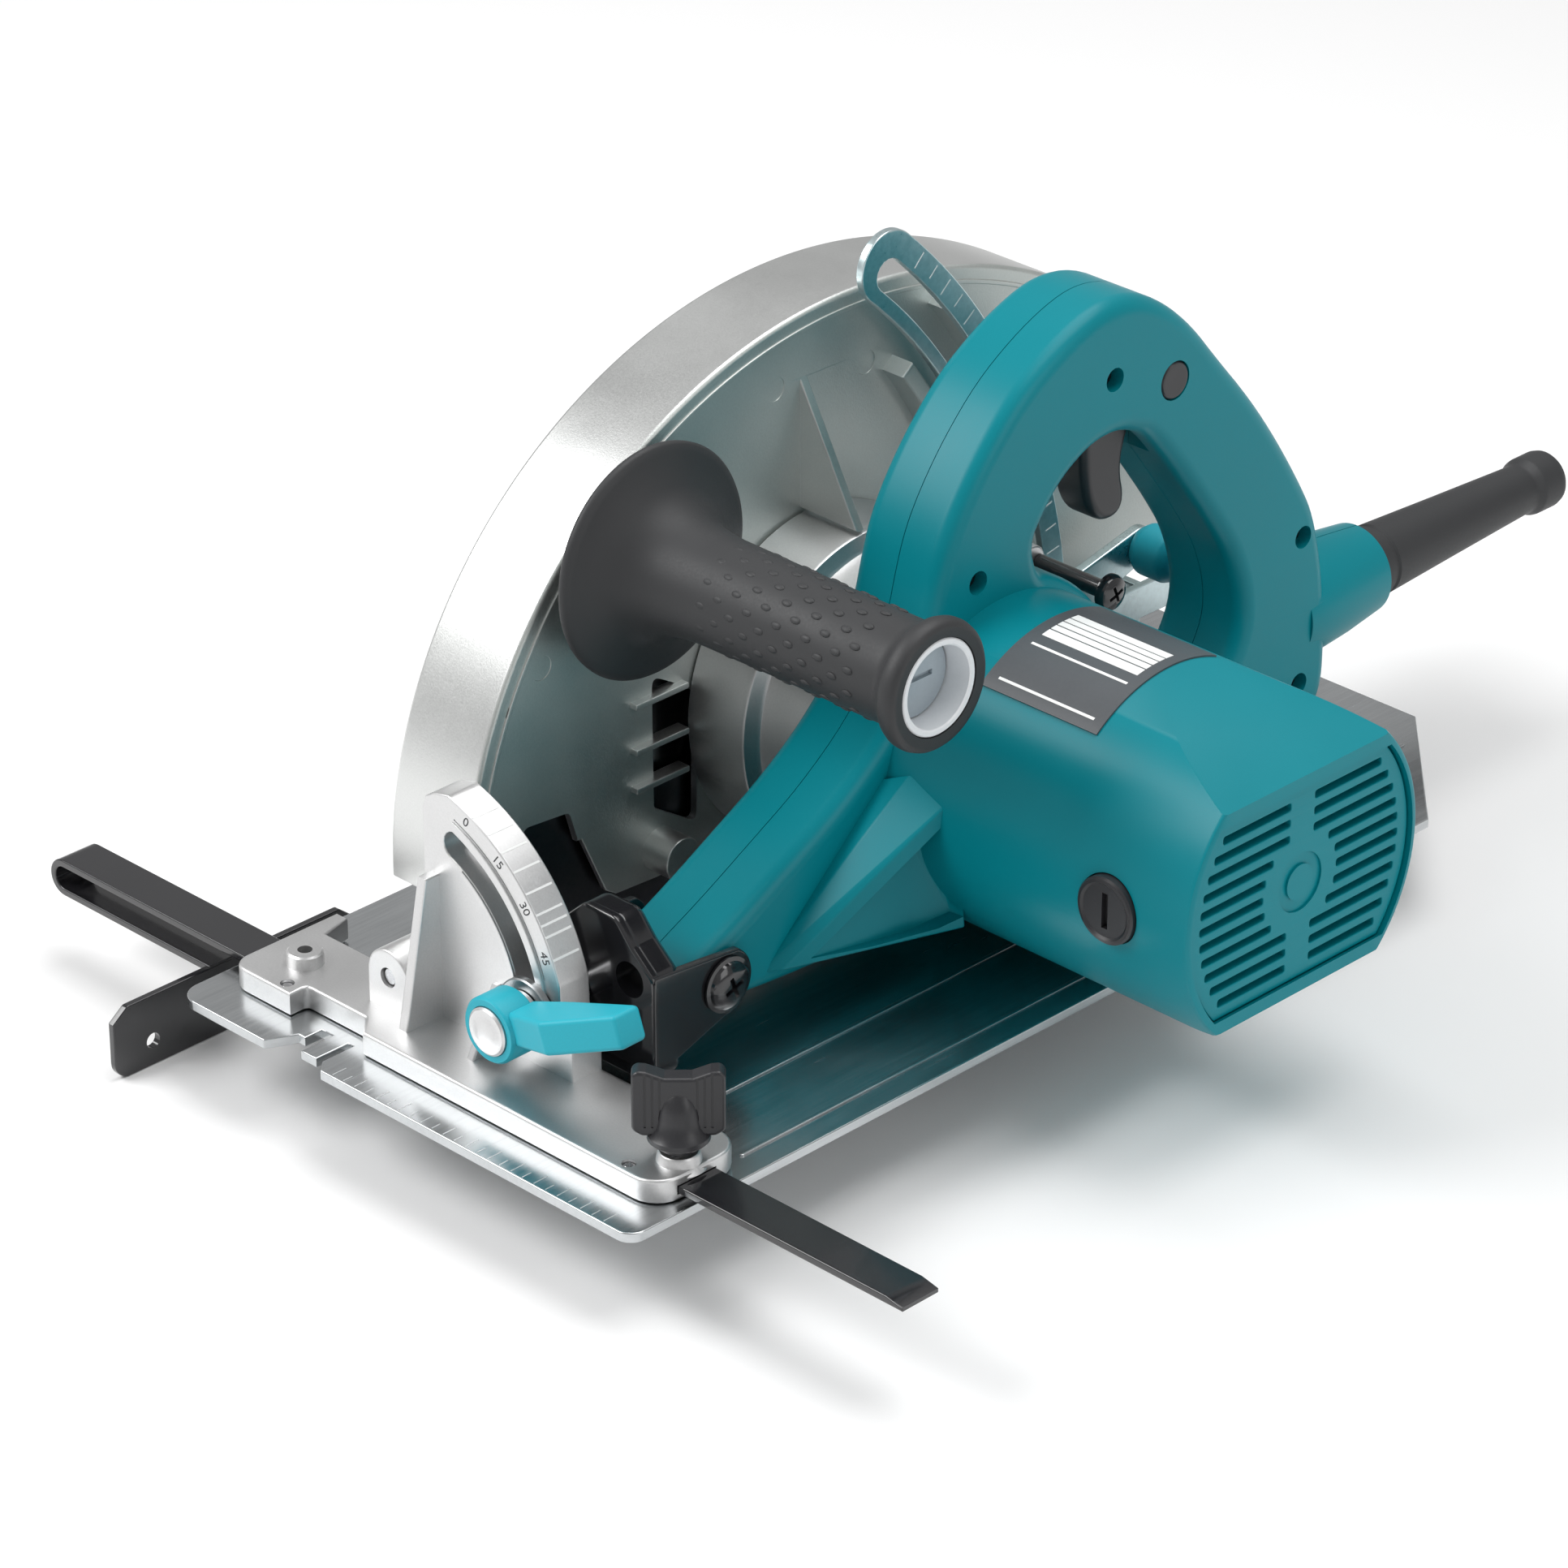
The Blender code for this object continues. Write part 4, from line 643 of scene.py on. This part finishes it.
case_outline = [(150, 37), (196, 58), (196, 108)] + volute(25, 181.5, 110) + [(-126, 31), (-108, 37)]
case = slab_mesh("X", [case_outline], CASE_FAR, CASE_NEAR, edge=1.6, steps=3)
skirt_outline = [(-104, 52), (-99, 49.2), (-83.5, 15), (-79, 12), (-61, 11), (128, 11), (142, 16), (149, 39),
                 (20, 62)]
skirt = slab_mesh("X", [skirt_outline], -42.2, -39.55, edge=0.5)
room_outline = [(147, -10), (193.2, 61), (193.2, 105)] + volute(25, 180, 80, CASE_WALL) + [(-141.2, -10)]
room = slab_mesh("X", [room_outline], CASE_FAR + CASE_WALL, CASE_NEAR - CASE_WALL)
notch_outline = [(-150, 20), (-90, 20), (-99, 49.2), (-118, 50.8), (-129, 33), (-137, 28)]
notch = slab_mesh("X", [rounded(notch_outline, 3)], -43.3, -38.5)
case = combined(case, "DIFFERENCE", room, notch)
rib = slab_mesh("Y", [[(-41, 168.5), (-41, 120.6), (-14, 120.4)]], 4.2, 7.8, edge=0.8)
case = combined(
    case, "UNION", skirt, rib,
    rod_mesh("X", GRIP, -41, -25.3, 12), rod_mesh("X", (-60, 21.5), -41, -28, 7.5),
    rod_mesh("X", LOCK, -41, -30, 8),
    slab_mesh("X", [sector(SWING, 204, 210, 14, 38, 30)], -41, -30, edge=0.8),
    slab_mesh("X", [sector(SWING, 231, 237, 14, 38, 30)], -41, -30, edge=0.8),
    rod_mesh("X", SPINDLE, -47.2, -41, 30), rod_mesh("X", SPINDLE, -41, -36.2, 20),
)
window_outline = rounded([(-62.4, 84.1), (-62, 36.7), (-43, 24.5), (-42, 70.5), (-46, 74.5)], 2.5)
ejector_marks = []
for angle in (58, 76, 94, 112, 130, 148):
    across = polar(SPINDLE, 132, angle)
    ejector_marks.append(turned_mesh("X", across, [(-39.75, 0), (-39.75, 4.2), (-39, 4.4), (-39, 0)], 32))
case = combined(
    case, "DIFFERENCE",
    slab_mesh("X", [window_outline], -45, -35), box_mesh((-70.5, 190, 64), (-44.5, 200, 102)),
    bore("X", SPINDLE, -42.5, -30, 16.3, 48),
    bore("X", SPINDLE, -50, -42.2, 24, 64),
    bore("X", GRIP, -45, -20, 5.3, 32),
    bore("X", LOCK, -45, -20, 4.3, 32),
    *ejector_marks,
)
fins = [box_mesh((-42, -72, z), (-36.5, -48.6, z + 2.2), edge=0.5) for z in (76, 59.8, 46.1)]
ridge = slab_mesh("X", [volute(32, 178, 110, 5.0) + volute(32, 178, 110, 6.6)[::-1]], -40, -38.9, edge=0.35)
case = combined(case, "UNION", ridge, *fins)
case_piece = piece("blade_case_casting", case, cast_case, "saw_body", "cast", "blade_case", sharp=42)
# The near wall's faces that look along +X take the darker copy as painted shade.
case_piece.data.materials.append(cast_near_painted_shade)
for face in case_piece.data.polygons:
    if face.normal.x > 0.5 and face.center.x > -43 * MM:
        face.material_index = 1

# ------------------------------------------------------------ gear housing
# The gear housing is a bright cast drum between the blade case and the motor, stepped where the
# motor housing's register fits, with a flange arm for the long screw.

MOTOR = (9.7, 62.5)
drum_profile = [(-39.2, 0), (-39.2, 56.2), (-38.6, 57), (-14.6, 57), (-13.8, 56.6), (-13.4, 55.8),
                (-12.2, 53), (-11.2, 52), (8.6, 52), (9.2, 51.4), (9.2, 0)]
gears = turned_mesh("X", MOTOR, drum_profile, 128)
arm_outline = rounded([(40, 90), (64, 68), (72, 90), (66, 103), (52, 104)], 5)
seat_profile = [(-42, 0), (-42, 8.6), (-29, 8.6), (-29, 11.1), (-8, 11.1), (-8, 48), (20, 48), (20, 0)]
gears = combined(gears, "UNION", slab_mesh("X", [arm_outline], 1, 9.2, edge=0.8))
gears = combined(gears, "DIFFERENCE", bore("X", SPINDLE, -42, -21, 25.4, 48),
                 turned_mesh("X", MOTOR, seat_profile, 64), bore("X", SPINDLE, -30, -14, 9, 32))
piece("gear_housing_casting", gears, cast_bright, "saw_body", "cast", "gear_housing")

# ------------------------------------------------------------ handle and motor housing
# Glass-filled nylon in teal, moulded in two halves: the near half and the motor barrel are one
# piece, the far half is screwed to it. The outer edges are fully rounded for the hand.

HANDLE_FAR, HANDLE_NEAR, HANDLE_SPLIT = 9.5, 45.5, 27.5
NEAR_START, FAR_END = 27.65, 27.35  # the halves stand 0.3 mm apart
CORD_EXIT = (HANDLE_SPLIT, 53.0)
BRUSH = (139, MOTOR[1])
TRIGGER_SLOT = ((18.3, 55.3, 116), (36.7, 86, 186))
SCREWS = ((58.6, 174.9), (-3.0, 125.5), (154.2, 87.7), (155.0, 33.1))
FLANGE_SCREW = (64.6, 97.0)
BUTTON = (87.3, 165.5)
teal_plastic = grained("teal_plastic", (0.0, 0.215, 0.26), 0.36, 0.0, grain=2200, shift=0.04, shine=0.22)


def eased(points, passes=1):
    """The closed outline with its corners cut twice as fine, which turns it into a smooth curve."""
    for _ in range(passes):
        finer = []
        for here, after in zip(points, points[1:] + points[:1]):
            finer.append((here[0] * 0.75 + after[0] * 0.25, here[1] * 0.75 + after[1] * 0.25))
            finer.append((here[0] * 0.25 + after[0] * 0.75, here[1] * 0.25 + after[1] * 0.75))
        points = finer
    return points


handle_edge = arc(SWING, 11.5, 150, 290, 10) + [(-104, 18), (-50, 14.5)] + arc(MOTOR, 54, 240, 300, 10)
handle_edge += [(150, 16), (164, 18), (168, 23), (170.5, 30), (170.8, 42), (169.7, 56.5), (167.2, 75.5)]
handle_edge += [(162.3, 93.5), (156.6, 104.5), (142.9, 126), (128.3, 145.8), (111.5, 165), (99, 180)]
handle_edge += [(86, 191.5), (72, 199.5), (58, 201.7), (45, 199), (30, 192.5), (14, 182.5), (0, 168.5)]
handle_edge += [(-10, 155.5), (-17, 143.5), (-21, 131.5), (-25, 115.5), (-32, 100.5), (-43.1, 86)]
handle_edge += [(-63.9, 70.3), (-85.7, 58.7), (-107.3, 47.2)]
finger_gap = [(66, 48), (108, 46), (118, 49), (125.5, 62), (125.5, 75), (120, 91), (111, 105), (100, 120)]
finger_gap += [(88, 136), (77, 149), (70, 152.5), (63, 154.5), (55, 154.3), (48, 152.5), (39, 147.5)]
finger_gap += [(33, 142), (29, 137), (24, 129.5)] + arc(MOTOR, 57.5, 72, 2, 10)
whole_handle = slab_mesh("X", [eased(handle_edge, 2), eased(finger_gap, 2)], HANDLE_FAR, HANDLE_NEAR,
                         edge=6.0, steps=8)


def closed(mesh):
    """The mesh with its doubled points merged and any pinhole left by a cut filled."""
    bm = bmesh.new()
    bm.from_mesh(mesh)
    bmesh.ops.remove_doubles(bm, verts=bm.verts, dist=1e-5)
    bmesh.ops.dissolve_degenerate(bm, edges=bm.edges, dist=1e-6)
    bmesh.ops.holes_fill(bm, edges=[edge for edge in bm.edges if edge.is_boundary], sides=0)
    bm.to_mesh(mesh)
    bm.free()
    return mesh



def hull_mesh(corners, edge=0.0):
    """The tightest convex block round the corners, its edges rounded."""
    bm = bmesh.new()
    for corner in corners:
        bm.verts.new(Vector(corner) * MM)
    bmesh.ops.convex_hull(bm, input=bm.verts)
    if edge:
        bmesh.ops.bevel(bm, geom=bm.edges[:], offset=edge * MM, affect="EDGES", segments=3, profile=0.5,
                        material=-1, clamp_overlap=True)
    mesh = bpy.data.meshes.new("hull")
    bm.to_mesh(mesh)
    bm.free()
    return mesh


near_half = combined(whole_handle.copy(), "DIFFERENCE", box_mesh((-10, -200, -50), (NEAR_START, 300, 300)))
far_half = combined(whole_handle.copy(), "DIFFERENCE", box_mesh((FAR_END, -200, -50), (80, 300, 300)))
barrel_profile = [(NEAR_START, 0), (NEAR_START, 54), (168.9, 54), (170.0, 53.5), (170.5, 52.6), (170.5, 0)]
barrel = turned_mesh("X", MOTOR, barrel_profile, 160)
web = hull_mesh(((44, -98, 24), (44, -90, 22), (44, -60, 20), (44, -45, 72), (54.5, -42.4, 76.5),
                 (71.5, -40, 74), (71.5, -34.7, 26), (60, -26, 20), (44, -50, 60), (49, -93, 25)), edge=1.6)
pocket = hull_mesh(((52, -84, 27), (60, -84, 27), (56, -48, 60), (62, -47, 60), (66, -40.5, 66),
                    (80, -38, 70), (66, -36, 30), (80, -34, 30), (60, -50, 26)))
web = combined(web, "DIFFERENCE", pocket)
housing = closed(combined(near_half, "UNION", barrel, web))
facets, room_facets = [], []
for side in (1, -1):
    shape = [(x, MOTOR[1] + side * z) for x, z in ((119.5, 54.3), (173, 36.9), (173, 75), (119.5, 75))]
    facets.append(slab_mesh("Y", [shape[::side]], -60, 80))
    shape = [(x, MOTOR[1] + side * z) for x, z in ((100, 56), (180, 30.2), (180, 75), (100, 75))]
    room_facets.append(slab_mesh("Y", [shape[::side]], -60, 80))
motor_room = bore("X", MOTOR, 0, 175.5, 51.5, 128)
motor_room = combined(motor_room, "DIFFERENCE", *room_facets)
housing = closed(combined(housing, "DIFFERENCE", *facets, motor_room))
holes = [bore("Y", BRUSH, -60, 80, 11.6, 64),
         bore("X", SWING, 0, 46, 4.4, 32),
         bore("X", BUTTON, 31, 50, 6.7, 48),
         bore("X", FLANGE_SCREW, 20, 41, 3.4, 32)]
holes += [bore("X", place_yz, 38, 50, 4.0, 40) for place_yz in SCREWS]
holes += [bore("X", place_yz, 20, 39, 2.2, 24) for place_yz in SCREWS]
holes.append(box_mesh(*TRIGGER_SLOT))
for hole in holes:
    housing = closed(combined(housing, "DIFFERENCE", hole))


def collar_half(low_x, high_x):
    """Half of the round collar that holds the cord guard."""
    shape = [(160, 11.5), (160, 19), (170, 19.6), (186, 18.4), (204, 16.2), (205, 15.2), (205, 11.5)]
    collar = turned_mesh("Y", CORD_EXIT, shape, 80, ring=True)
    return combined(collar, "DIFFERENCE", box_mesh((low_x, 150, 20), (high_x, 220, 90)))


cord_room = bore("Y", CORD_EXIT, 158, 180, 13, 48)
housing = closed(combined(housing, "DIFFERENCE", cord_room))
housing = closed(combined(housing, "UNION", collar_half(0, NEAR_START)))
piece("motor_housing_moulding", housing, teal_plastic, "saw_body", "teal", "motor_housing", sharp=32)

cover_holes = [bore("X", MOTOR, 0, 40, 51.5, 128),
               bore("X", SWING, 0, 60, 4.4, 32),
               bore("X", FLANGE_SCREW, 5, 36, 3.4, 32),
               box_mesh(*TRIGGER_SLOT), cord_room]
cover_holes += [bore("X", place_yz, 15, 39, 2.2, 24) for place_yz in SCREWS]
cover = combined(far_half, "DIFFERENCE", *cover_holes)
cover = combined(cover, "UNION", collar_half(FAR_END, 60))
piece("handle_cover_moulding", cover, teal_plastic, "saw_body", "teal", "handle_cover", sharp=32)

dark_steel = grained("dark_steel", (0.05, 0.05, 0.055), 0.34, 0.9, grain=900, relief=0.01)
for number, place_yz in enumerate(SCREWS, 1):
    profile = [(15.5, 0), (15.5, 1.9), (39.3, 1.9), (39.3, 3.6), (40.8, 3.5), (41.6, 2.6), (42, 0)]
    screw = turned_mesh("X", place_yz, profile, 32)
    screw = combined(screw, "DIFFERENCE", *cross_recess(place_yz, 42, 2.2, 0.8, 1.3))
    piece(f"handle_screw_{number}_steel", screw, dark_steel, "saw_body", "dark_steel",
          f"handle_screw_{number}")
profile = [(9.6, 0), (9.6, 3.0), (39.3, 3.0), (39.3, 6.2), (41, 6.2), (42.3, 5.5), (43.2, 3.5), (43.5, 0)]
flange_screw = combined(turned_mesh("X", FLANGE_SCREW, profile, 48), "DIFFERENCE",
                        *cross_recess(FLANGE_SCREW, 43.6, 3.8, 1.2, 2.2))
piece("flange_screw_steel", flange_screw, black_gloss, "saw_body", "black_paint", "flange_screw")

# ------------------------------------------------------------ motor end cover
# A flat moulded grille closes the barrel: eleven rows of vents either side of a dished centre boss,
# with the rear bearing's seat behind.

end_edge = math.degrees(math.asin(33.3 / 50.6))
grille_outline = arc(MOTOR, 50.6, -end_edge, end_edge, 40)
grille_outline += arc(MOTOR, 50.6, 180 - end_edge, 180 + end_edge, 40)
vents = []
for row in range(-5, 6):
    height = row * 5.6
    reach = math.sqrt(46.1 ** 2 - height ** 2)
    start = 5.5 if abs(height) > 16 else math.sqrt(17 ** 2 - height ** 2)
    for side in (-1, 1):
        low_y, high_y = sorted((MOTOR[0] + side * start, MOTOR[0] + side * reach))
        low_z, high_z = MOTOR[1] + height - 1.35, MOTOR[1] + height + 1.35
        vent = [(low_y, low_z), (high_y, low_z), (high_y, high_z), (low_y, high_z)]
        vents.append(rounded(vent, 0.9, steps=3))
grille = slab_mesh("X", [grille_outline] + vents, 164.5, 169, edge=0.35, steps=2)
seat = turned_mesh("X", MOTOR, [(158, 12.9), (158, 15.5), (165, 15.5), (165, 12.9)], 64, ring=True)
dish = turned_mesh("X", MOTOR, [(168.2, 6), (168.2, 10), (172, 10), (172, 6)], 64, ring=True)
grille = combined(grille, "UNION", seat)
grille = combined(grille, "DIFFERENCE", dish)
piece("end_cover_grille", grille, teal_plastic, "saw_body", "teal", "end_cover")

# ------------------------------------------------------------ brush caps and brushes
# Black moulded caps screw into the barrel's sides and hold the carbon brushes.

for side, word in ((-1, "front"), (1, "rear")):
    inner_y, outer_y = MOTOR[0] + side * 45.5, MOTOR[0] + side * 56
    cap_profile = [(inner_y, 0), (inner_y, 11.2), (outer_y - side * 0.9, 11.2), (outer_y - side * 0.2, 10.6),
                   (outer_y, 9.6), (outer_y - side * 0.6, 8.8), (outer_y - side * 0.6, 0)]
    cap = turned_mesh("Y", BRUSH, cap_profile, 64)
    low_y, high_y = sorted((outer_y - side * 2.6, outer_y + side * 2))
    cap = combined(cap, "DIFFERENCE", box_mesh((137.8, low_y, MOTOR[1] - 6), (140.2, high_y, MOTOR[1] + 6)))
    piece(f"brush_cap_{word}_moulding", cap, black_satin, "saw_body", "black_plastic", f"brush_cap_{word}")

# ------------------------------------------------------------ nameplate
# A printed foil wraps the top of the barrel: dark grey, with a white table of blank ruled rows.

label_grey = grained("label_grey", (0.085, 0.092, 0.10), 0.36, 0.0, grain=900, relief=0.01, shift=0.05)
plate_foil = slab_mesh("X", [sector(MOTOR, 54.05, 54.6, 67, 128, 40)], 66.5, 114.5)
piece("nameplate_foil", plate_foil, label_grey, "saw_body", "label", "nameplate")
row_angles = ((84.0, 87.6, 6), (88.2, 90.8, 6), (91.4, 94.0, 6), (94.6, 97.2, 6), (97.8, 101.6, 6),
              (106, 107, 4), (123, 124, 4))
rows = [slab_mesh("X", [sector(MOTOR, 54.5, 54.72, *angles)], 71, 110.5) for angles in row_angles]
piece("nameplate_table", joined(*rows), white_ink, "saw_body", "white")

# ------------------------------------------------------------ side grip
# A black rubber grip moulded over a tube, with a hand flange at the case and rows of small studs.
# A long bolt holds it; a grey cap and a white ring close its end.

rubber_black = grained("rubber_black", (0.028, 0.029, 0.031), 0.55, 0.0, grain=1400, relief=0.04, shift=0.1)
grip_profile = [(-25, 5.4), (-25, 36), (-24.4, 37.6), (-23.2, 38.8), (-22, 39), (-20.8, 38.2), (-20.0, 36),
                (-19, 32.6), (-16.4, 26.6), (-13.4, 23.2), (-10, 20.9), (-6.5, 19.4), (-3, 18.6), (2, 17.9),
                (8, 17.4), (50, 17.0), (88, 16.9), (90.4, 17.4), (92.4, 19.0), (94.0, 20.6), (95.6, 21.3),
                (97.4, 21.4), (99.2, 20.9), (100.3, 19.9), (100.5, 18.8), (100.3, 16), (84, 16), (84, 5.4)]
grip = turned_mesh("X", GRIP, grip_profile, 128, ring=True)
stud_bm = bmesh.new()
for row in range(14):
    for step in range(11):
        a = math.tau * (row + 0.5 * (step % 2)) / 14
        place = Matrix.Translation((0, GRIP[0] * MM, GRIP[1] * MM)) @ Matrix.Rotation(a, 4, "X")
        place = place @ Matrix.Translation(((16 + step * 6.2) * MM, 0, 17.0 * MM))
        place = place @ Matrix.Diagonal((2.1 * MM, 1.15 * MM, 0.55 * MM, 1))
        bmesh.ops.create_uvsphere(stud_bm, u_segments=14, v_segments=8, radius=1, matrix=place)
studs = bpy.data.meshes.new("studs")
stud_bm.to_mesh(studs)
stud_bm.free()
piece("side_grip_rubber", joined(grip, studs), rubber_black, "saw_body", "rubber", "side_grip", sharp=60)
ring_white = grained("ring_white", (0.80, 0.82, 0.84), 0.32, 0.0, grain=900, relief=0.01, shift=0.03)
cap_grey = grained("cap_grey", (0.36, 0.42, 0.46), 0.34, 0.0, grain=900, relief=0.015, shift=0.05)
ring_profile = [(84.3, 13.4), (84.3, 15.7), (99.8, 15.7), (100.3, 15.2), (100.3, 13.9), (99.9, 13.4)]
piece("grip_end_ring_moulding", turned_mesh("X", GRIP, ring_profile, 96, ring=True), ring_white, "saw_body",
      "white", "grip_end_ring")
cap_disc = turned_mesh("X", GRIP, [(87.5, 0), (87.5, 13.1), (90.4, 13.1), (91, 12.5), (91, 0)], 96)
cap_slot = box_mesh((89.6, GRIP[0] - 6.5, GRIP[1] - 0.9), (93, GRIP[0] + 6.5, GRIP[1] + 0.9))
cap_disc = combined(cap_disc, "DIFFERENCE", cap_slot)
piece("grip_cap_moulding", cap_disc, cap_grey, "saw_body", "white", "grip_cap")
bolt_profile = [(-40.5, 0), (-40.5, 5), (84.3, 5), (84.3, 8), (87, 8), (87, 0)]
piece("grip_long_bolt", turned_mesh("X", GRIP, bolt_profile, 48), steel_bright, "saw_body", "steel",
      "grip_bolt")

# ------------------------------------------------------------ cord guard
# A long tapered sleeve in soft black rubber, ribbed near the handle and beaded at its open end.

guard_profile = [(189, 4.4), (189, 11.2), (205.6, 11.2), (205.6, 12.6), (206.2, 13), (211, 12.8),
                 (211.8, 12.0), (213.0, 12.0), (213.8, 12.6), (250, 10.8), (291, 8.9), (293, 9.2),
                 (294.6, 10.2), (296, 10.4), (304, 10.4), (306, 9.9), (307.4, 8.8), (308, 7.4), (308, 4.4)]
piece("cord_guard_sleeve", turned_mesh("Y", CORD_EXIT, guard_profile, 96, ring=True), rubber_black,
      "saw_body", "rubber", "cord_guard")

# ------------------------------------------------------------ trigger, button and switch
# The black trigger hinges in the handle's slot and works the switch behind it; the round button
# in the near half locks it.

trigger_outline = [(56.5, 160), (57, 138), (60, 126), (66, 119), (74, 118.5), (78, 124), (75, 136), (78, 148)]
trigger_outline += [(82, 155), (80, 162), (60, 164)]
trigger = slab_mesh("X", [eased(trigger_outline, 2)], 20, 35, edge=3.0, steps=5)
piece("trigger_moulding", trigger, black_satin, "trigger_body", "black_plastic", "trigger")
button_profile = [(36, 0), (36, 6.3), (45.0, 6.3), (45.6, 5.8), (45.7, 4.8), (45.4, 0)]
piece("lock_button_moulding", turned_mesh("X", BUTTON, button_profile, 64), black_satin, "lock_button_body",
      "black_plastic", "lock_button")
piece("switch_block_case", box_mesh((16, 65.5, 167), (39, 80.2, 185), edge=0.8), black_satin, "saw_body",
      "black_plastic", "switch_block")

# ------------------------------------------------------------ depth lock
# A plated bolt in the guide's slot and a pressed lever with a cyan moulded knob clamp the depth.

LOCK_KNOB = (150.0, 63.5)
piece("depth_lock_stud", rod_mesh("X", LOCK, -41, -18, 4.0, 0.5, 32), steel_bright, "saw_body", "steel",
      "depth_lock_bolt")
lever_outline = arc(LOCK, 9, 105, 285, 24) + arc(LOCK_KNOB, 6.5, -75, 105, 20)
lever_arm = slab_mesh("X", [lever_outline], -25.4, -21.4, edge=0.7)
lever_arm = combined(lever_arm, "DIFFERENCE", bore("X", LOCK, -30, -10, 4.3, 32))
piece("depth_lever_arm", lever_arm, zinc_blue, "depth_lever_body", "zinc", "depth_lever")
knob_profile = [(-21.1, 0), (-21.1, 6.4), (-20.4, 7.4), (-18, 9.0), (-16.8, 9.2), (-8.6, 9.2), (-7.2, 8.6),
                (-5.4, 6.4), (-5, 5), (-5, 0)]
piece("depth_lever_grip", turned_mesh("X", LOCK_KNOB, knob_profile, 64), cyan_satin, "depth_lever_body",
      "cyan", "depth_lever_knob")

# ------------------------------------------------------------ blade, flanges and shafts
# The blade is ground steel with brazed carbide tips, clamped between turned flanges by a hex bolt.
# What turns inside the motor keeps its frame shape and gets its own finish.

blade_steel = grained("blade_steel", (0.46, 0.46, 0.47), 0.22, 1.0, grain=1500, relief=0.012, shift=0.08)
copper = grained("copper", (0.72, 0.34, 0.17), 0.32, 1.0, grain=900, relief=0.02)
carbon = grained("carbon", (0.03, 0.03, 0.03), 0.7, 0.0)
finishes = {
    "steel": (steel_bright, ("inner_flange", "outer_flange", "spindle", "drive_gear", "armature_shaft",
                             "pinion_bearing", "rear_bearing", "spindle_bearing", "guard_spring")),
    "blade": (blade_steel, ("saw_blade",)),
    "dark": (dark_steel, ("blade_bolt", "field_stator")),
    "copper": (copper, ("armature_core", "commutator")),
    "carbon": (carbon, ("carbon_brush_front", "carbon_brush_rear")),
    "plastic": (black_satin, ("cooling_fan",)),
}
for material, names in finishes.values():
    for name in names:
        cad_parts[name].data.materials.clear()
        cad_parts[name].data.materials.append(material)

tips = []
for tooth in range(24):
    a = math.radians(tooth * 15)
    tip = box_mesh((-53.1, 126.8, -4.6), (-49.9, 134.9, -0.2), edge=0.3)
    tip.transform(Matrix.Translation((0, SPINDLE[0] * MM, SPINDLE[1] * MM)) @ Matrix.Rotation(a, 4, "X"))
    tips.append(tip)
piece("blade_tips", joined(*tips), steel_bright, "blade", "steel")

# ------------------------------------------------------------ lower guard
# A band of blackened sheet steel, bent to a U round the blade, which turns back as the cut starts.

guard_dark = grained("guard_dark", (0.10, 0.10, 0.11), 0.34, 1.0, grain=900, relief=0.012, shift=0.12)
band = slab_mesh("X", [sector(SPINDLE, 139.4, 141, 170, 345, 110)], -60, -45, edge=0.25, steps=2)
near_web_outline = arc(SPINDLE, 140.2, 170.2, 344.8, 110) + arc(SPINDLE, 38, 344.8, 530.2, 40)
near_web = slab_mesh("X", [near_web_outline, arc(SPINDLE, 30.4, 0, 360, 64)[:-1]], -46.4, -45.1)
far_web = slab_mesh("X", [sector(SPINDLE, 60, 140.2, 170.2, 344.8, 110)], -59.9, -58.4)
guard = combined(band, "UNION", near_web, far_web)
piece("lower_guard_sheet", guard, guard_dark, "guard", "dark_steel", "lower_guard")
